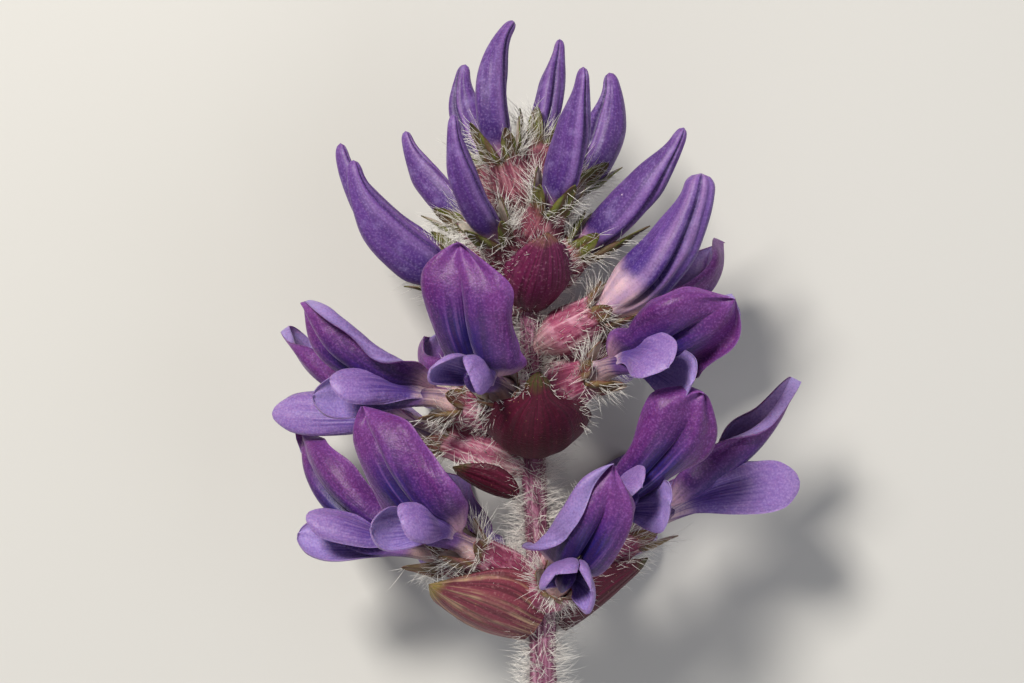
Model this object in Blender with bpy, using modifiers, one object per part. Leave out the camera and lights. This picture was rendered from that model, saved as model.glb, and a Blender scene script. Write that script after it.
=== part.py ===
"""Cut flower spike of a breadroot, laid on its back on a flat surface.

Frame: +X to the right across the spike, +Y along the stem to its tip, +Z up from the surface
that the spike lies on. Sizes below are millimetres and degrees, and MM turns them to metres.
"""
import math
from dataclasses import dataclass

import bmesh
import bpy
from mathutils import Matrix, Vector

MM = 0.001
SPIKE = "breadroot_flower"

# Stem: points of its axis (x, y, z) from the cut end to the tip, and its radius at both ends
STEM_AXIS = ((0.8, -33.0, 14.2), (0.6, -22.0, 14.8), (0.35, -12.0, 15.0), (-0.2, -4.0, 15.0),
             (-0.4, 8.0, 15.0), (-0.8, 16.0, 15.0), (-1.0, 19.5, 15.0))
STEM_RADIUS_FOOT = 1.15
STEM_RADIUS_TIP = 0.8
STEM_STEPS = 16

# Calyx: a gibbous tube on a short stalk, with five teeth
TEETH = 5
CALYX_STALK_RADIUS = 0.6
CALYX_RADIUS = 1.8
CALYX_MOUTH_RADIUS = 1.7
CALYX_WALL = 0.55
CALYX_CUP_DEPTH = 1.5
TOOTH_LENGTH = 1.8
TOOTH_SPLAY = 0.45

# Petals: the claws are their narrow roots, bundled in the calyx
PETAL_THICKNESS = 0.6
CLAW_RADIUS = 0.82  # of the bundle
CLAW_LENGTH = 3.0
CLAW_END = 0.8  # share of the claw after which a blade widens
PETAL_ROOT = 0.35  # the blades start this far past the calyx mouth
CLEARANCE = 0.3  # between one node and the next
BANNER_CLAW_HALF = 0.7
BANNER_LIFT = 0.4  # of its root over the axis
BANNER_WIDEST = 0.85
WING_CLAW_HALF = 0.38
WING_HALF = 1.75
WING_DROP = 0.15  # of its root under the axis
WING_SINK = 0.9  # further down at its tip
WING_WIDEST = 1.2
WING_UNLIKENESS = 0.02  # the two wings differ by this share in length
KEEL_REACH = 0.72  # share of the wing's length
KEEL_CURVE = 25.0
BANNER_ROWS, BANNER_COLUMNS = 7, 4
WING_ROWS, WING_COLUMNS = 4, 2
KEEL_SIDES, KEEL_RINGS = 6, 5

# Buds
BUD_FLATNESS = 0.85  # width over depth
FURROW_DEPTH = 0.35
FURROW_TURN = 72.0  # round the horn, from its side towards its upper edge
BUD_SIDES, BUD_RINGS = 8, 9

# Bracts
BRACT_THICKNESS = 0.6
BRACT_FOOT_HALF = 0.4
BRACT_ROWS, BRACT_COLUMNS = 7, 4

FLOOR = 0.0


@dataclass(frozen=True)
class Flower:
    """An open flower: its place on the stem, its axis, and how its petals stand."""

    name: str
    height: float  # of its foot along Y
    turn: float  # of its axis round the stem: 0 towards +Z, 90 towards +X
    rise: float  # of its axis towards the tip of the spike
    roll: float = 0.0
    calyx: float = 6.0  # length of stalk and tube
    tooth: float = 3.4  # length of the calyx's lowest tooth
    banner: float = 15.0  # length past the calyx mouth
    width: float = 7.6  # of the banner
    bend: float = 45.0  # the banner turns up from the axis by this much
    fold: float = 25.0  # half angle that the banner's sides are folded back
    wing: float = 12.0  # length past the calyx mouth
    drop: float = 8.0  # the wings turn down from the axis by this much


@dataclass(frozen=True)
class Bud:
    """A closed, horn-shaped flower: its place on the stem, its axis and its curve."""

    name: str
    height: float
    turn: float
    rise: float
    roll: float = 0.0
    calyx: float = 5.0
    tooth: float = 4.0
    horn: float = 12.0  # length past the calyx mouth
    bend: float = 40.0  # the horn turns up from the axis by this much
    girth: float = 1.45  # half its depth where it is thickest


@dataclass(frozen=True)
class Bract:
    """A pointed, cupped leaf under a whorl."""

    name: str
    height: float
    turn: float
    rise: float
    length: float
    width: float
    bend: float  # it turns up from its axis by this much
    cup: float  # half angle that its sides are folded up
    seat: float  # where round the stem its foot stands
    roll: float = 0.0


FLOWERS = (
    Flower("lower_1", -13.5, -54, 30, roll=18, calyx=7.4, banner=14.8, width=9.0, bend=48, fold=15,
           wing=9.2, drop=24),
    Flower("lower_2", -12.6, -92, 16, roll=44, calyx=7.6, banner=16.8, bend=60, fold=34, drop=-2),
    Flower("lower_3", -13.5, 12, 15, roll=-26, calyx=6.0, banner=14.2, width=6.8, bend=68, fold=54,
           wing=9.0, drop=16),
    Flower("lower_4", -12.0, 50, 38, roll=-35, calyx=6.0, banner=15.5, bend=12, fold=30, wing=8.8,
           drop=40),
    Flower("lower_5", -13.5, 98, 33, calyx=8.5, banner=18.6, width=7.0, bend=14, fold=55, wing=14.0,
           drop=28),
    Flower("lower_6", -14.0, -148, 18, calyx=6.0, banner=14.5, bend=30, fold=30, wing=11.5),
    Flower("lower_7", -14.0, 150, 22, calyx=6.0, banner=14.5, bend=30, fold=30, wing=11.5),
    Flower("middle_1", 0.5, -24, 22, roll=-8, calyx=6.3, banner=15.0, width=9.0, bend=64, fold=12,
           wing=9.0, drop=16),
    Flower("middle_2", 0.8, -72, 11, roll=26, calyx=6.2, banner=15.2, width=7.8, bend=44, fold=36,
           wing=11.4, drop=2),
    Flower("middle_3", -3.6, -104, 20, calyx=7.2, banner=17.0, bend=19, fold=32, wing=15.0, drop=20),
    Flower("middle_4", 1.0, -150, 12, calyx=6.0, banner=12.5, bend=20, fold=30, wing=10.5),
    Flower("middle_6", 3.0, 112, 25, calyx=6.5, banner=14.7, bend=26, fold=38, wing=12.0),
    Flower("middle_7", 1.8, 52, 21, roll=-30, calyx=6.3, banner=13.8, width=8.8, bend=10, fold=32,
           wing=10.0, drop=30),
    Flower("middle_8", 0.8, 152, 22, calyx=6.0, banner=13.0, bend=30, fold=30, wing=10.5),
)
BUDS = (
    Bud("middle_5", 6.0, 69, 29, calyx=6.3, horn=14.4, bend=54, girth=2.25),
    Bud("upper_1", 11.0, -100, 19, calyx=6.0, horn=14.6, bend=62, girth=1.6),
    Bud("upper_2", 9.5, -68, 20, calyx=6.6, horn=13.3, bend=63, girth=2.0),
    Bud("upper_3", 12.5, -110, 38, calyx=6.0, horn=9.8, bend=38, girth=1.35),
    Bud("upper_4", 12.2, -33, 32, calyx=5.4, horn=11.5, bend=60, girth=1.4),
    Bud("upper_5", 16.6, -122, 52, calyx=5.2, horn=9.2, bend=54, girth=1.5),
    Bud("upper_6", 16.8, -48, 64, calyx=5.0, horn=11.8, bend=74, girth=1.45),
    Bud("upper_7", 17.5, 122, 75, calyx=5.0, horn=9.0, bend=10, girth=1.2),
    Bud("upper_8", 13.0, 28, 50, calyx=5.5, horn=12.2, bend=34, girth=1.75),
    Bud("upper_9", 15.5, 108, 46, calyx=5.5, horn=10.0, bend=60, girth=1.75),
    Bud("upper_10", 11.0, 66, 36, calyx=5.2, horn=13.1, bend=28, girth=1.65, tooth=6.0),
    Bud("upper_11", 10.5, 178, 11, calyx=5.0, horn=12.2, bend=35),
    Bud("upper_12", 9.5, -142, 4, calyx=5.0, horn=11.0, bend=30),
)
BRACTS = (
    Bract("lower_left", -16.5, -65, 16, length=9.2, width=8.5, bend=28, cup=62, seat=-36, roll=20),
    Bract("lower_right", -16.2, 86, 38, length=8.8, width=6.0, bend=6, cup=56, seat=90, roll=-26),
    Bract("middle_front", -2.4, 2, 3, length=11.8, width=8.0, bend=80, cup=66, seat=0),
    Bract("middle_left", -5.6, -80, 18, length=5.6, width=4.2, bend=20, cup=60, seat=-60, roll=30),
    Bract("upper_front", 9.2, 12, 20, length=8.6, width=5.8, bend=62, cup=70, seat=5),
    Bract("lower_back", -16.8, -170, 5, length=7.0, width=6.0, bend=30, cup=60, seat=-170),
)


def smooth(low: float, high: float, x: float) -> float:
    """Return 0 below low and 1 above high, with a smooth rise between."""
    x = min(1.0, max(0.0, (x - low) / (high - low)))
    return x * x * (3.0 - 2.0 * x)


def stem_point(height: float) -> Vector:
    """Return the point of the stem's axis at that height along Y."""
    for low, high in zip(STEM_AXIS, STEM_AXIS[1:]):
        if height <= high[1]:
            break
    share = (height - low[1]) / (high[1] - low[1])
    return Vector(low).lerp(Vector(high), share)


def axis_frame(piece) -> tuple[Vector, Vector, Vector, Vector]:
    """Return a flower's foot, its axis, its upward side and the direction to its side."""
    turn, rise = math.radians(piece.turn), math.radians(piece.rise)
    outward = Vector((math.sin(turn), 0.0, math.cos(turn)))
    axis = outward * math.cos(rise) + Vector((0.0, 1.0, 0.0)) * math.sin(rise)
    up = Vector((0.0, 1.0, 0.0)) * math.cos(rise) - outward * math.sin(rise)
    up.rotate(Matrix.Rotation(math.radians(piece.roll), 3, axis))
    return stem_point(piece.height), axis, up, axis.cross(up)


def curved_spine(start: tuple[float, float], length: float, turn_by: float, straight: float):
    """Return a function from 0..1 to (along, up, heading) of a line that bends evenly.

    It runs straight for the given share of its length, and then turns by turn_by degrees.
    """
    steps = 48
    points = [(start[0], start[1], 0.0)]
    for index in range(steps):
        middle = (index + 0.5) / steps
        heading = math.radians(turn_by) * max(0.0, middle - straight) / (1.0 - straight)
        along, up, _ = points[-1]
        reach = length / steps
        points.append((along + reach * math.cos(heading), up + reach * math.sin(heading), heading))

    def at(share: float) -> tuple[float, float, float]:
        place = min(max(share, 0.0), 1.0) * steps
        low = min(int(place), steps - 1)
        mix = place - low
        return tuple(a + (b - a) * mix for a, b in zip(points[low], points[low + 1]))

    return at


def towards_tip(u: float) -> float:
    """Crowd a blade's rows towards its tip, where its outline turns most."""
    return 1.0 - (1.0 - u) ** 1.35


def petal_outline(out: float, late: float) -> float:
    """Return a petal's width over its length as a share: late over 1 is widest near the tip."""
    if out <= 0.0 or out >= 1.0:
        return 0.0
    return math.sin(math.pi * out ** late) ** 0.6


def past_claw(u: float, claw_share: float) -> float:
    """Return how far along its blade, past the claw, a petal is at u: 0 at the claw, 1 at the tip."""
    claw = claw_share * CLAW_END
    return max(0.0, u - claw) / (1.0 - claw)


def new_object(name: str, mesh, collection: bpy.types.Collection):
    """Link a mesh or a curve as an object of that name."""
    made = bpy.data.objects.new(name, mesh)
    collection.objects.link(made)
    return made


def blade(name: str, place, rows: int, columns: int, thickness: float, collection):
    """Make a thin leaf: a grid moved by place(u, v), split into triangles and thickened.

    u runs from 0 at the root to 1 at the tip, and v from -1 to 1 across.
    """
    grid = bmesh.new()
    bmesh.ops.create_grid(grid, x_segments=columns, y_segments=rows, size=1.0)
    for vert in grid.verts:
        vert.co = place((vert.co.y + 1.0) / 2.0, vert.co.x) * MM
    bmesh.ops.triangulate(grid, faces=grid.faces, quad_method="FIXED")
    mesh = bpy.data.meshes.new(name)
    grid.to_mesh(mesh)
    grid.free()
    made = new_object(name, mesh, collection)
    thicken = made.modifiers.new("Thickness", "SOLIDIFY")
    thicken.thickness = thickness * MM
    thicken.offset = 0.0
    return made


def loft(name: str, rings: list, collection):
    """Make a closed solid through rings of equally many points, each a list of vectors."""
    body = bmesh.new()
    made_rings = [[body.verts.new(point * MM) for point in ring] for ring in rings]
    sides = len(made_rings[0])
    for low, high in zip(made_rings, made_rings[1:]):
        for index in range(sides):
            after = (index + 1) % sides
            body.faces.new((low[index], low[after], high[after], high[index]))
    body.faces.new(tuple(reversed(made_rings[0])))
    body.faces.new(tuple(made_rings[-1]))
    bmesh.ops.triangulate(body, faces=body.faces)
    bmesh.ops.recalc_face_normals(body, faces=body.faces)
    mesh = bpy.data.meshes.new(name)
    body.to_mesh(mesh)
    body.free()
    return new_object(name, mesh, collection)


def evaluated_mesh(made) -> bpy.types.Mesh:
    """Return a copy of an object's mesh with its modifiers applied."""
    graph = bpy.context.evaluated_depsgraph_get()
    return bpy.data.meshes.new_from_object(made.evaluated_get(graph))


def join(base, pieces: bpy.types.Collection) -> None:
    """Fuse a collection's solids to base by one Boolean union, and remove them."""
    union = base.modifiers.new("Join", "BOOLEAN")
    union.operation = "UNION"
    union.operand_type = "COLLECTION"
    union.collection = pieces
    union.solver = "MANIFOLD"
    fused = evaluated_mesh(base)
    keep_largest_shell(fused)
    base.modifiers.clear()
    base.data = fused
    for piece in list(pieces.objects):
        bpy.data.objects.remove(piece)
    bpy.data.collections.remove(pieces)


def keep_largest_shell(mesh: bpy.types.Mesh) -> None:
    """Drop loose scraps, and fill the hollows that joined solids seal."""
    body = bmesh.new()
    body.from_mesh(mesh)
    unseen, shells = set(body.verts), []
    while unseen:
        shell, edge_of_shell = set(), [unseen.pop()]
        while edge_of_shell:
            vert = edge_of_shell.pop()
            shell.add(vert)
            for edge in vert.link_edges:
                other = edge.other_vert(vert)
                if other in unseen:
                    unseen.discard(other)
                    edge_of_shell.append(other)
        shells.append(shell)
    shells.sort(key=len, reverse=True)
    for shell in shells[1:]:
        bmesh.ops.delete(body, geom=list(shell), context="VERTS")
    bmesh.ops.triangulate(body, faces=body.faces)
    body.to_mesh(mesh)
    body.free()


def trim_at_floor(made) -> None:
    """Cut off what lies below the surface, which leaves a small flat spot to rest on."""
    mesh = made.data
    if min(vert.co.z for vert in mesh.vertices) >= FLOOR:
        return
    body = bmesh.new()
    body.from_mesh(mesh)
    everything = body.verts[:] + body.edges[:] + body.faces[:]
    cut = bmesh.ops.bisect_plane(
        body, geom=everything, plane_co=(0, 0, FLOOR), plane_no=(0, 0, 1), clear_inner=True
    )
    rim = [item for item in cut["geom_cut"] if isinstance(item, bmesh.types.BMEdge)]
    bmesh.ops.holes_fill(body, edges=rim)
    bmesh.ops.triangulate(body, faces=body.faces)
    bmesh.ops.recalc_face_normals(body, faces=body.faces)
    body.to_mesh(mesh)
    body.free()


def banner_blade(flower: Flower, collection):
    """Make the banner: a claw, then a broad blade that turns up, creased along its middle."""
    foot, axis, up, side = axis_frame(flower)
    root = flower.calyx + PETAL_ROOT
    length = flower.banner - PETAL_ROOT
    claw_share = (CLAW_LENGTH - PETAL_ROOT) / length
    spine = curved_spine((root, BANNER_LIFT), length, flower.bend, claw_share * 0.6)
    blade_half = flower.width / 2.0

    def place(u: float, v: float) -> Vector:
        u = towards_tip(u)
        along, rise, heading = spine(u)
        swell = petal_outline(past_claw(u, claw_share), BANNER_WIDEST)
        half = BANNER_CLAW_HALF + (blade_half - BANNER_CLAW_HALF) * swell
        fold = math.radians(flower.fold) * (1.0 - 0.6 * smooth(0.5, 1.0, u)) + 0.02
        bow = half / fold
        across = bow * math.sin(v * fold)
        lift = bow * (1.0 - math.cos(v * fold)) * smooth(0.1, 0.4, u)
        return (foot + axis * (along - math.sin(heading) * lift)
                + up * (rise + math.cos(heading) * lift) + side * across)

    return blade("banner_" + flower.name, place, BANNER_ROWS, BANNER_COLUMNS,
                 PETAL_THICKNESS, collection)


def wing_blade(flower: Flower, hand: int, collection):
    """Make one wing: a paddle that stands beside the keel, on the hand's side."""
    foot, axis, up, side = axis_frame(flower)
    root = flower.calyx + PETAL_ROOT
    length = (flower.wing - PETAL_ROOT) * (1.0 + WING_UNLIKENESS * hand)
    claw_share = (CLAW_LENGTH - PETAL_ROOT) / length
    spine = curved_spine((root, -WING_DROP), length, -flower.drop, claw_share)

    def place(u: float, v: float) -> Vector:
        u = towards_tip(u)
        along, rise, heading = spine(u)
        swell = petal_outline(past_claw(u, claw_share), WING_WIDEST)
        half = WING_CLAW_HALF + (WING_HALF - WING_CLAW_HALF) * swell
        spread = 0.32 + 1.35 * smooth(claw_share * 0.5, 0.8, u) + 0.25 * v * v * swell
        lean = 0.35 * v * half * smooth(claw_share, 1.0, u)
        sink = WING_SINK * smooth(claw_share, 1.0, u)
        return (foot + axis * (along - math.sin(heading) * v * half)
                + up * (rise + math.cos(heading) * v * half - sink)
                + side * hand * (spread - lean))

    return blade("wing", place, WING_ROWS, WING_COLUMNS, PETAL_THICKNESS, collection)


def keel_solid(flower: Flower, collection):
    """Make the keel, a small folded boat that grows out of the bundle of claws."""
    foot, axis, up, side = axis_frame(flower)
    root = flower.calyx - CALYX_CUP_DEPTH + CLEARANCE
    length = flower.wing * KEEL_REACH + flower.calyx - root
    spine = curved_spine((root, 0.0), length, KEEL_CURVE, 0.75)
    rings = []
    for index in range(KEEL_RINGS):
        u = index / (KEEL_RINGS - 1)
        along, rise, heading = spine(u)
        tall = CLAW_RADIUS + 0.25 * smooth(0.35, 0.8, u) - 0.55 * smooth(0.8, 1.0, u)
        wide = CLAW_RADIUS - 0.35 * smooth(0.3, 0.8, u) - 0.15 * smooth(0.8, 1.0, u)
        sink = 0.9 * smooth(0.3, 0.9, u)
        ring = []
        for step in range(KEEL_SIDES):
            angle = 2.0 * math.pi * step / KEEL_SIDES
            reach = tall * math.sin(angle)
            ring.append(foot + axis * (along - math.sin(heading) * reach)
                        + up * (rise - sink + math.cos(heading) * reach)
                        + side * wide * math.cos(angle))
        rings.append(ring)
    return loft("corolla_" + flower.name, rings, collection)


def corolla(flower: Flower, collection) -> None:
    """Make an open flower's petals, grown together at their claws."""
    body = keel_solid(flower, collection)
    petals = bpy.data.collections.new("petals_" + flower.name)
    bpy.context.scene.collection.children.link(petals)
    banner_blade(flower, petals)
    for hand in (-1, 1):
        wing_blade(flower, hand, petals)
    join(body, petals)
    trim_at_floor(body)
    body.data.materials.append(material("petal_violet", (0.22, 0.07, 0.33), 0.55))


def bud_horn(bud: Bud, collection) -> None:
    """Make a closed flower: a horn that bends up, with the furrow of its folded banner."""
    foot, axis, up, side = axis_frame(bud)
    root = bud.calyx - CALYX_CUP_DEPTH + CLEARANCE
    length = bud.horn + bud.calyx - root
    claw_share = (bud.calyx + 1.0 - root) / length
    spine = curved_spine((root, 0.0), length, bud.bend, claw_share)
    rings = []
    for index in range(BUD_RINGS):
        u = towards_tip(index / (BUD_RINGS - 1))
        along, rise, heading = spine(u)
        swell = smooth(claw_share * 0.4, 0.42, u) * (1.0 - 0.7 * smooth(0.42, 0.95, u))
        taper = 1.0 - 0.55 * smooth(0.86, 1.0, u)
        tall = (CLAW_RADIUS + (bud.girth - CLAW_RADIUS) * swell) * taper
        wide = (CLAW_RADIUS + (bud.girth * BUD_FLATNESS - CLAW_RADIUS) * swell) * taper
        furrow = FURROW_DEPTH * smooth(claw_share, 0.4, u) * (1.0 - smooth(0.8, 1.0, u))
        ring = []
        for step in range(BUD_SIDES):
            angle = 2.0 * math.pi * (step + 0.25) / BUD_SIDES
            inset = 1.0 - furrow * max(0.0, math.cos(angle - math.radians(FURROW_TURN))) ** 12
            reach = tall * math.sin(angle) * inset
            ring.append(foot + axis * (along - math.sin(heading) * reach)
                        + up * (rise + math.cos(heading) * reach)
                        + side * wide * math.cos(angle) * inset)
        rings.append(ring)
    made = loft("bud_" + bud.name, rings, collection)
    trim_at_floor(made)
    made.data.materials.append(material("bud_violet", (0.13, 0.05, 0.30), 0.5))


def calyx_cup(piece, collection) -> None:
    """Make a calyx: stalk, swollen tube, five teeth, and the cup that holds the claws."""
    foot, axis, up, side = axis_frame(piece)
    mouth, sides = piece.calyx, 2 * TEETH
    outline = (
        (0.2, CALYX_STALK_RADIUS, False), (mouth * 0.42, CALYX_RADIUS, False),
        (mouth, CALYX_MOUTH_RADIUS, True), (mouth, CALYX_MOUTH_RADIUS - CALYX_WALL, True),
        (mouth - CALYX_CUP_DEPTH, CALYX_MOUTH_RADIUS - CALYX_WALL, False),
    )
    rings = []
    for along, radius, toothed in outline:
        ring = []
        for step in range(sides):
            angle = 2.0 * math.pi * step / sides - math.pi / 2.0
            tooth = toothed and step % 2 == 0
            reach = radius + (TOOTH_SPLAY if tooth else 0.0)
            extra = (piece.tooth if step == 0 else TOOTH_LENGTH) if tooth else 0.0
            ring.append(foot + axis * (along + extra)
                        + up * reach * math.sin(angle) + side * reach * math.cos(angle))
        rings.append(ring)
    loft("calyx", rings, collection)


def flower_stem(collection) -> None:
    """Make the stem with every calyx that grows on it, as one body."""
    curve = bpy.data.curves.new("stem_axis", "CURVE")
    curve.dimensions = "3D"
    curve.bevel_depth = STEM_RADIUS_FOOT * MM
    curve.bevel_resolution = 2
    curve.use_fill_caps = True
    line = curve.splines.new("POLY")
    line.points.add(STEM_STEPS)
    foot, tip = STEM_AXIS[0][1], STEM_AXIS[-1][1]
    for index, point in enumerate(line.points):
        share = index / STEM_STEPS
        place = stem_point(foot + (tip - foot) * share) * MM
        point.co = (*place, 1.0)
        point.radius = 1.0 + (STEM_RADIUS_TIP / STEM_RADIUS_FOOT - 1.0) * share
    tube = new_object("stem_tube", curve, collection)
    mesh = evaluated_mesh(tube)
    bpy.data.objects.remove(tube)
    body = bmesh.new()
    body.from_mesh(mesh)
    bmesh.ops.remove_doubles(body, verts=body.verts, dist=0.00001)
    bmesh.ops.recalc_face_normals(body, faces=body.faces)
    body.to_mesh(mesh)
    body.free()
    stem = new_object("stem_and_calyxes", mesh, collection)
    calyxes = bpy.data.collections.new("calyxes")
    bpy.context.scene.collection.children.link(calyxes)
    for piece in FLOWERS + BUDS:
        calyx_cup(piece, calyxes)
    join(stem, calyxes)
    stem.data.materials.clear()
    stem.data.materials.append(material("stem_maroon", (0.18, 0.08, 0.09), 0.75))


def bract_leaf(bract: Bract, collection) -> None:
    """Make a bract: broad and cupped, with a narrow pointed tip."""
    foot, axis, up, side = axis_frame(bract)
    seat = math.radians(bract.seat)
    stand_off = STEM_RADIUS_FOOT + CLEARANCE + BRACT_THICKNESS / 2.0
    foot = foot + Vector((math.sin(seat), 0.0, math.cos(seat))) * stand_off
    spine = curved_spine((0.0, 0.0), bract.length, bract.bend, 0.1)

    def place(u: float, v: float) -> Vector:
        along, rise, heading = spine(u)
        swell = petal_outline(0.02 + 0.98 * u, 0.8) ** 1.4
        half = BRACT_FOOT_HALF + (bract.width / 2.0 - BRACT_FOOT_HALF) * swell
        fold = math.radians(bract.cup) * (1.0 - 0.5 * smooth(0.6, 1.0, u))
        bow = half / fold
        lift = bow * (1.0 - math.cos(v * fold))
        return (foot + axis * (along - math.sin(heading) * lift)
                + up * (rise + math.cos(heading) * lift)
                + side * bow * math.sin(v * fold))

    made = blade("bract_" + bract.name, place, BRACT_ROWS, BRACT_COLUMNS,
                 BRACT_THICKNESS, collection)
    made.data.materials.append(material("bract_maroon", (0.10, 0.02, 0.04), 0.6))


def material(name: str, colour: tuple[float, float, float], roughness: float):
    """Return the material of that name, made on first use."""
    made = bpy.data.materials.get(name)
    if made is None:
        made = bpy.data.materials.new(name)
        made.use_nodes = True
        shader = made.node_tree.nodes["Principled BSDF"]
        shader.inputs["Base Color"].default_value = (*colour, 1.0)
        shader.inputs["Roughness"].default_value = roughness
        shader.inputs["Metallic"].default_value = 0.0
    return made


def main() -> None:
    """Clear the scene and build the spike."""
    for old in list(bpy.data.objects):
        bpy.data.objects.remove(old)
    spike = bpy.data.collections.new(SPIKE)
    bpy.context.scene.collection.children.link(spike)
    flower_stem(spike)
    for flower in FLOWERS:
        corolla(flower, spike)
    for bud in BUDS:
        bud_horn(bud, spike)
    for bract in BRACTS:
        bract_leaf(bract, spike)


main()
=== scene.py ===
"""A cut flower spike of breadroot, dressed around its plain solids.

The spike lies on its back, with +Y along the stem to its tip and +Z up to the viewer. Each flower, bud
and bract, the calyxes of each whorl, the stem and each coat of hair is a piece of its own here, made
from the sizes and the places of the solids that it stands for. Sizes are millimetres and degrees until
a mesh is written, and then metres.
"""
import logging
import math
from collections.abc import Callable, Sequence
from dataclasses import dataclass, field, replace
from enum import Enum, IntEnum
from functools import cached_property

import bpy
import numpy as np
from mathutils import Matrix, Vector

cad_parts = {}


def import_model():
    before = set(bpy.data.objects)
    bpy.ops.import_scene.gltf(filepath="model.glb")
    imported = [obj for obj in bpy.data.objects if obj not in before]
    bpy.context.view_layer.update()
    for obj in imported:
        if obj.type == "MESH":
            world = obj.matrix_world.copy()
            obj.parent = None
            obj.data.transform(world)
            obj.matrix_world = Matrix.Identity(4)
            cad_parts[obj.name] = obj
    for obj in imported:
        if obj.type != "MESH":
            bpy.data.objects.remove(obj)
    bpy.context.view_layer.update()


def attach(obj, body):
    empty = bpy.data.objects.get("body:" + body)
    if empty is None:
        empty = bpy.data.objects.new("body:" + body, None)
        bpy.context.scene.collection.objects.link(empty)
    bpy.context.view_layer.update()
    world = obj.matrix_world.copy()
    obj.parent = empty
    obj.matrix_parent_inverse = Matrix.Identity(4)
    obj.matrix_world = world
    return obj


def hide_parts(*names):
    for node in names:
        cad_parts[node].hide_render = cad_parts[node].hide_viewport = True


LOG = logging.getLogger("breadroot")
MM = 0.001
FULL_TURN = 2.0 * math.pi

STEM_AXIS = ((0.8, -33.0, 14.2), (0.6, -22.0, 14.8), (0.35, -12.0, 15.0), (-0.2, -4.0, 15.0),
             (-0.4, 8.0, 15.0), (-0.8, 16.0, 15.0), (-1.0, 19.5, 15.0))
CLAW_LENGTH = 3.0
CLAW_END = 0.8  # share of the claw after which a blade widens
CLAW_RADIUS = 0.82
PETAL_ROOT = 0.35  # how far past the mouth of its calyx a petal starts
CALYX_CUP_DEPTH = 1.2
PRESSED = 0.6  # what lies lower than this is pressed towards the surface
UP = np.array((0.0, 1.0, 0.0))  # the way that the stem grows


def smooth(low: float, high: float, x: np.ndarray) -> np.ndarray:
    """Return 0 below low and 1 above high, with a smooth rise between.

    Args:
        low: Where the rise starts.
        high: Where it ends.
        x: The values to ease.

    Returns:
        The eased values.
    """
    x = np.clip((np.asarray(x, float) - low) / (high - low), 0.0, 1.0)
    return x * x * (3.0 - 2.0 * x)


def hump(x: np.ndarray, middle: float, width: float) -> np.ndarray:
    """Return 1 at the middle, and a soft fall to 0 over about twice the width on both sides."""
    return np.exp(-((x - middle) / width) ** 2)


def swelling(out: np.ndarray, late: float) -> np.ndarray:
    """Return how full a blade is over its length: 0 at both ends, and widest later if late is over 1."""
    return np.sin(math.pi * np.clip(out, 0.0, 1.0) ** late).clip(0.0)


def blunt(u: np.ndarray, start: float, least: float) -> np.ndarray:
    """Return 1 up to the start, and from there a round fall to the least share at the tip."""
    past = np.clip((u - start) / (1.0 - start), 0.0, 1.0)
    return np.sqrt(1.0 - past ** 2) * (1.0 - least) + least


def unit(vectors: np.ndarray) -> np.ndarray:
    """Return the vectors at length 1."""
    return vectors / np.maximum(np.linalg.norm(vectors, axis=-1, keepdims=True), 1e-9)


def both(u: np.ndarray, v: np.ndarray) -> tuple[np.ndarray, np.ndarray]:
    """Return u and v as numbers in arrays of one shape."""
    u, v = np.broadcast_arrays(np.asarray(u, float), np.asarray(v, float))
    return u, v


def stem_point(height: np.ndarray) -> np.ndarray:
    """Find points of the stem's axis.

    Args:
        height: Where they are along Y.

    Returns:
        The points.
    """
    knots = np.array(STEM_AXIS)
    height = np.asarray(height, float)
    x, z = (np.interp(height, knots[:, 1], knots[:, k]) for k in (0, 2))
    return np.stack((x, height, z), -1)


@dataclass(frozen=True)
class Spine:
    """A line that runs straight for a share of its length, bends evenly, and may flare at its tip."""

    along: float  # where it starts
    up: float
    length: float
    turn: float  # how far its heading turns up in all
    straight: float  # the share of it that runs straight
    flare: float = 0.0  # how much further its tip turns
    flare_from: float = 0.72
    steps: int = 60

    def at(self, share: np.ndarray) -> tuple[np.ndarray, np.ndarray, np.ndarray]:
        """Follow the line.

        Args:
            share: How far to go, as a share of its length.

        Returns:
            How far along and how far up the line is there, and its heading in radians.
        """
        middle = (np.arange(self.steps) + 0.5) / self.steps
        bent = np.maximum(0.0, middle - self.straight) / (1.0 - self.straight)
        heading = math.radians(self.turn) * bent
        heading = heading + math.radians(self.flare) * smooth(self.flare_from, 1.0, middle)
        reach = self.length / self.steps
        knots = np.linspace(0.0, 1.0, self.steps + 1)
        along = self.along + np.concatenate(([0.0], np.cumsum(np.cos(heading)))) * reach
        up = self.up + np.concatenate(([0.0], np.cumsum(np.sin(heading)))) * reach
        share = np.clip(share, 0.0, 1.0)
        return (np.interp(share, knots, along), np.interp(share, knots, up),
                np.interp(share, middle, heading))


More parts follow.
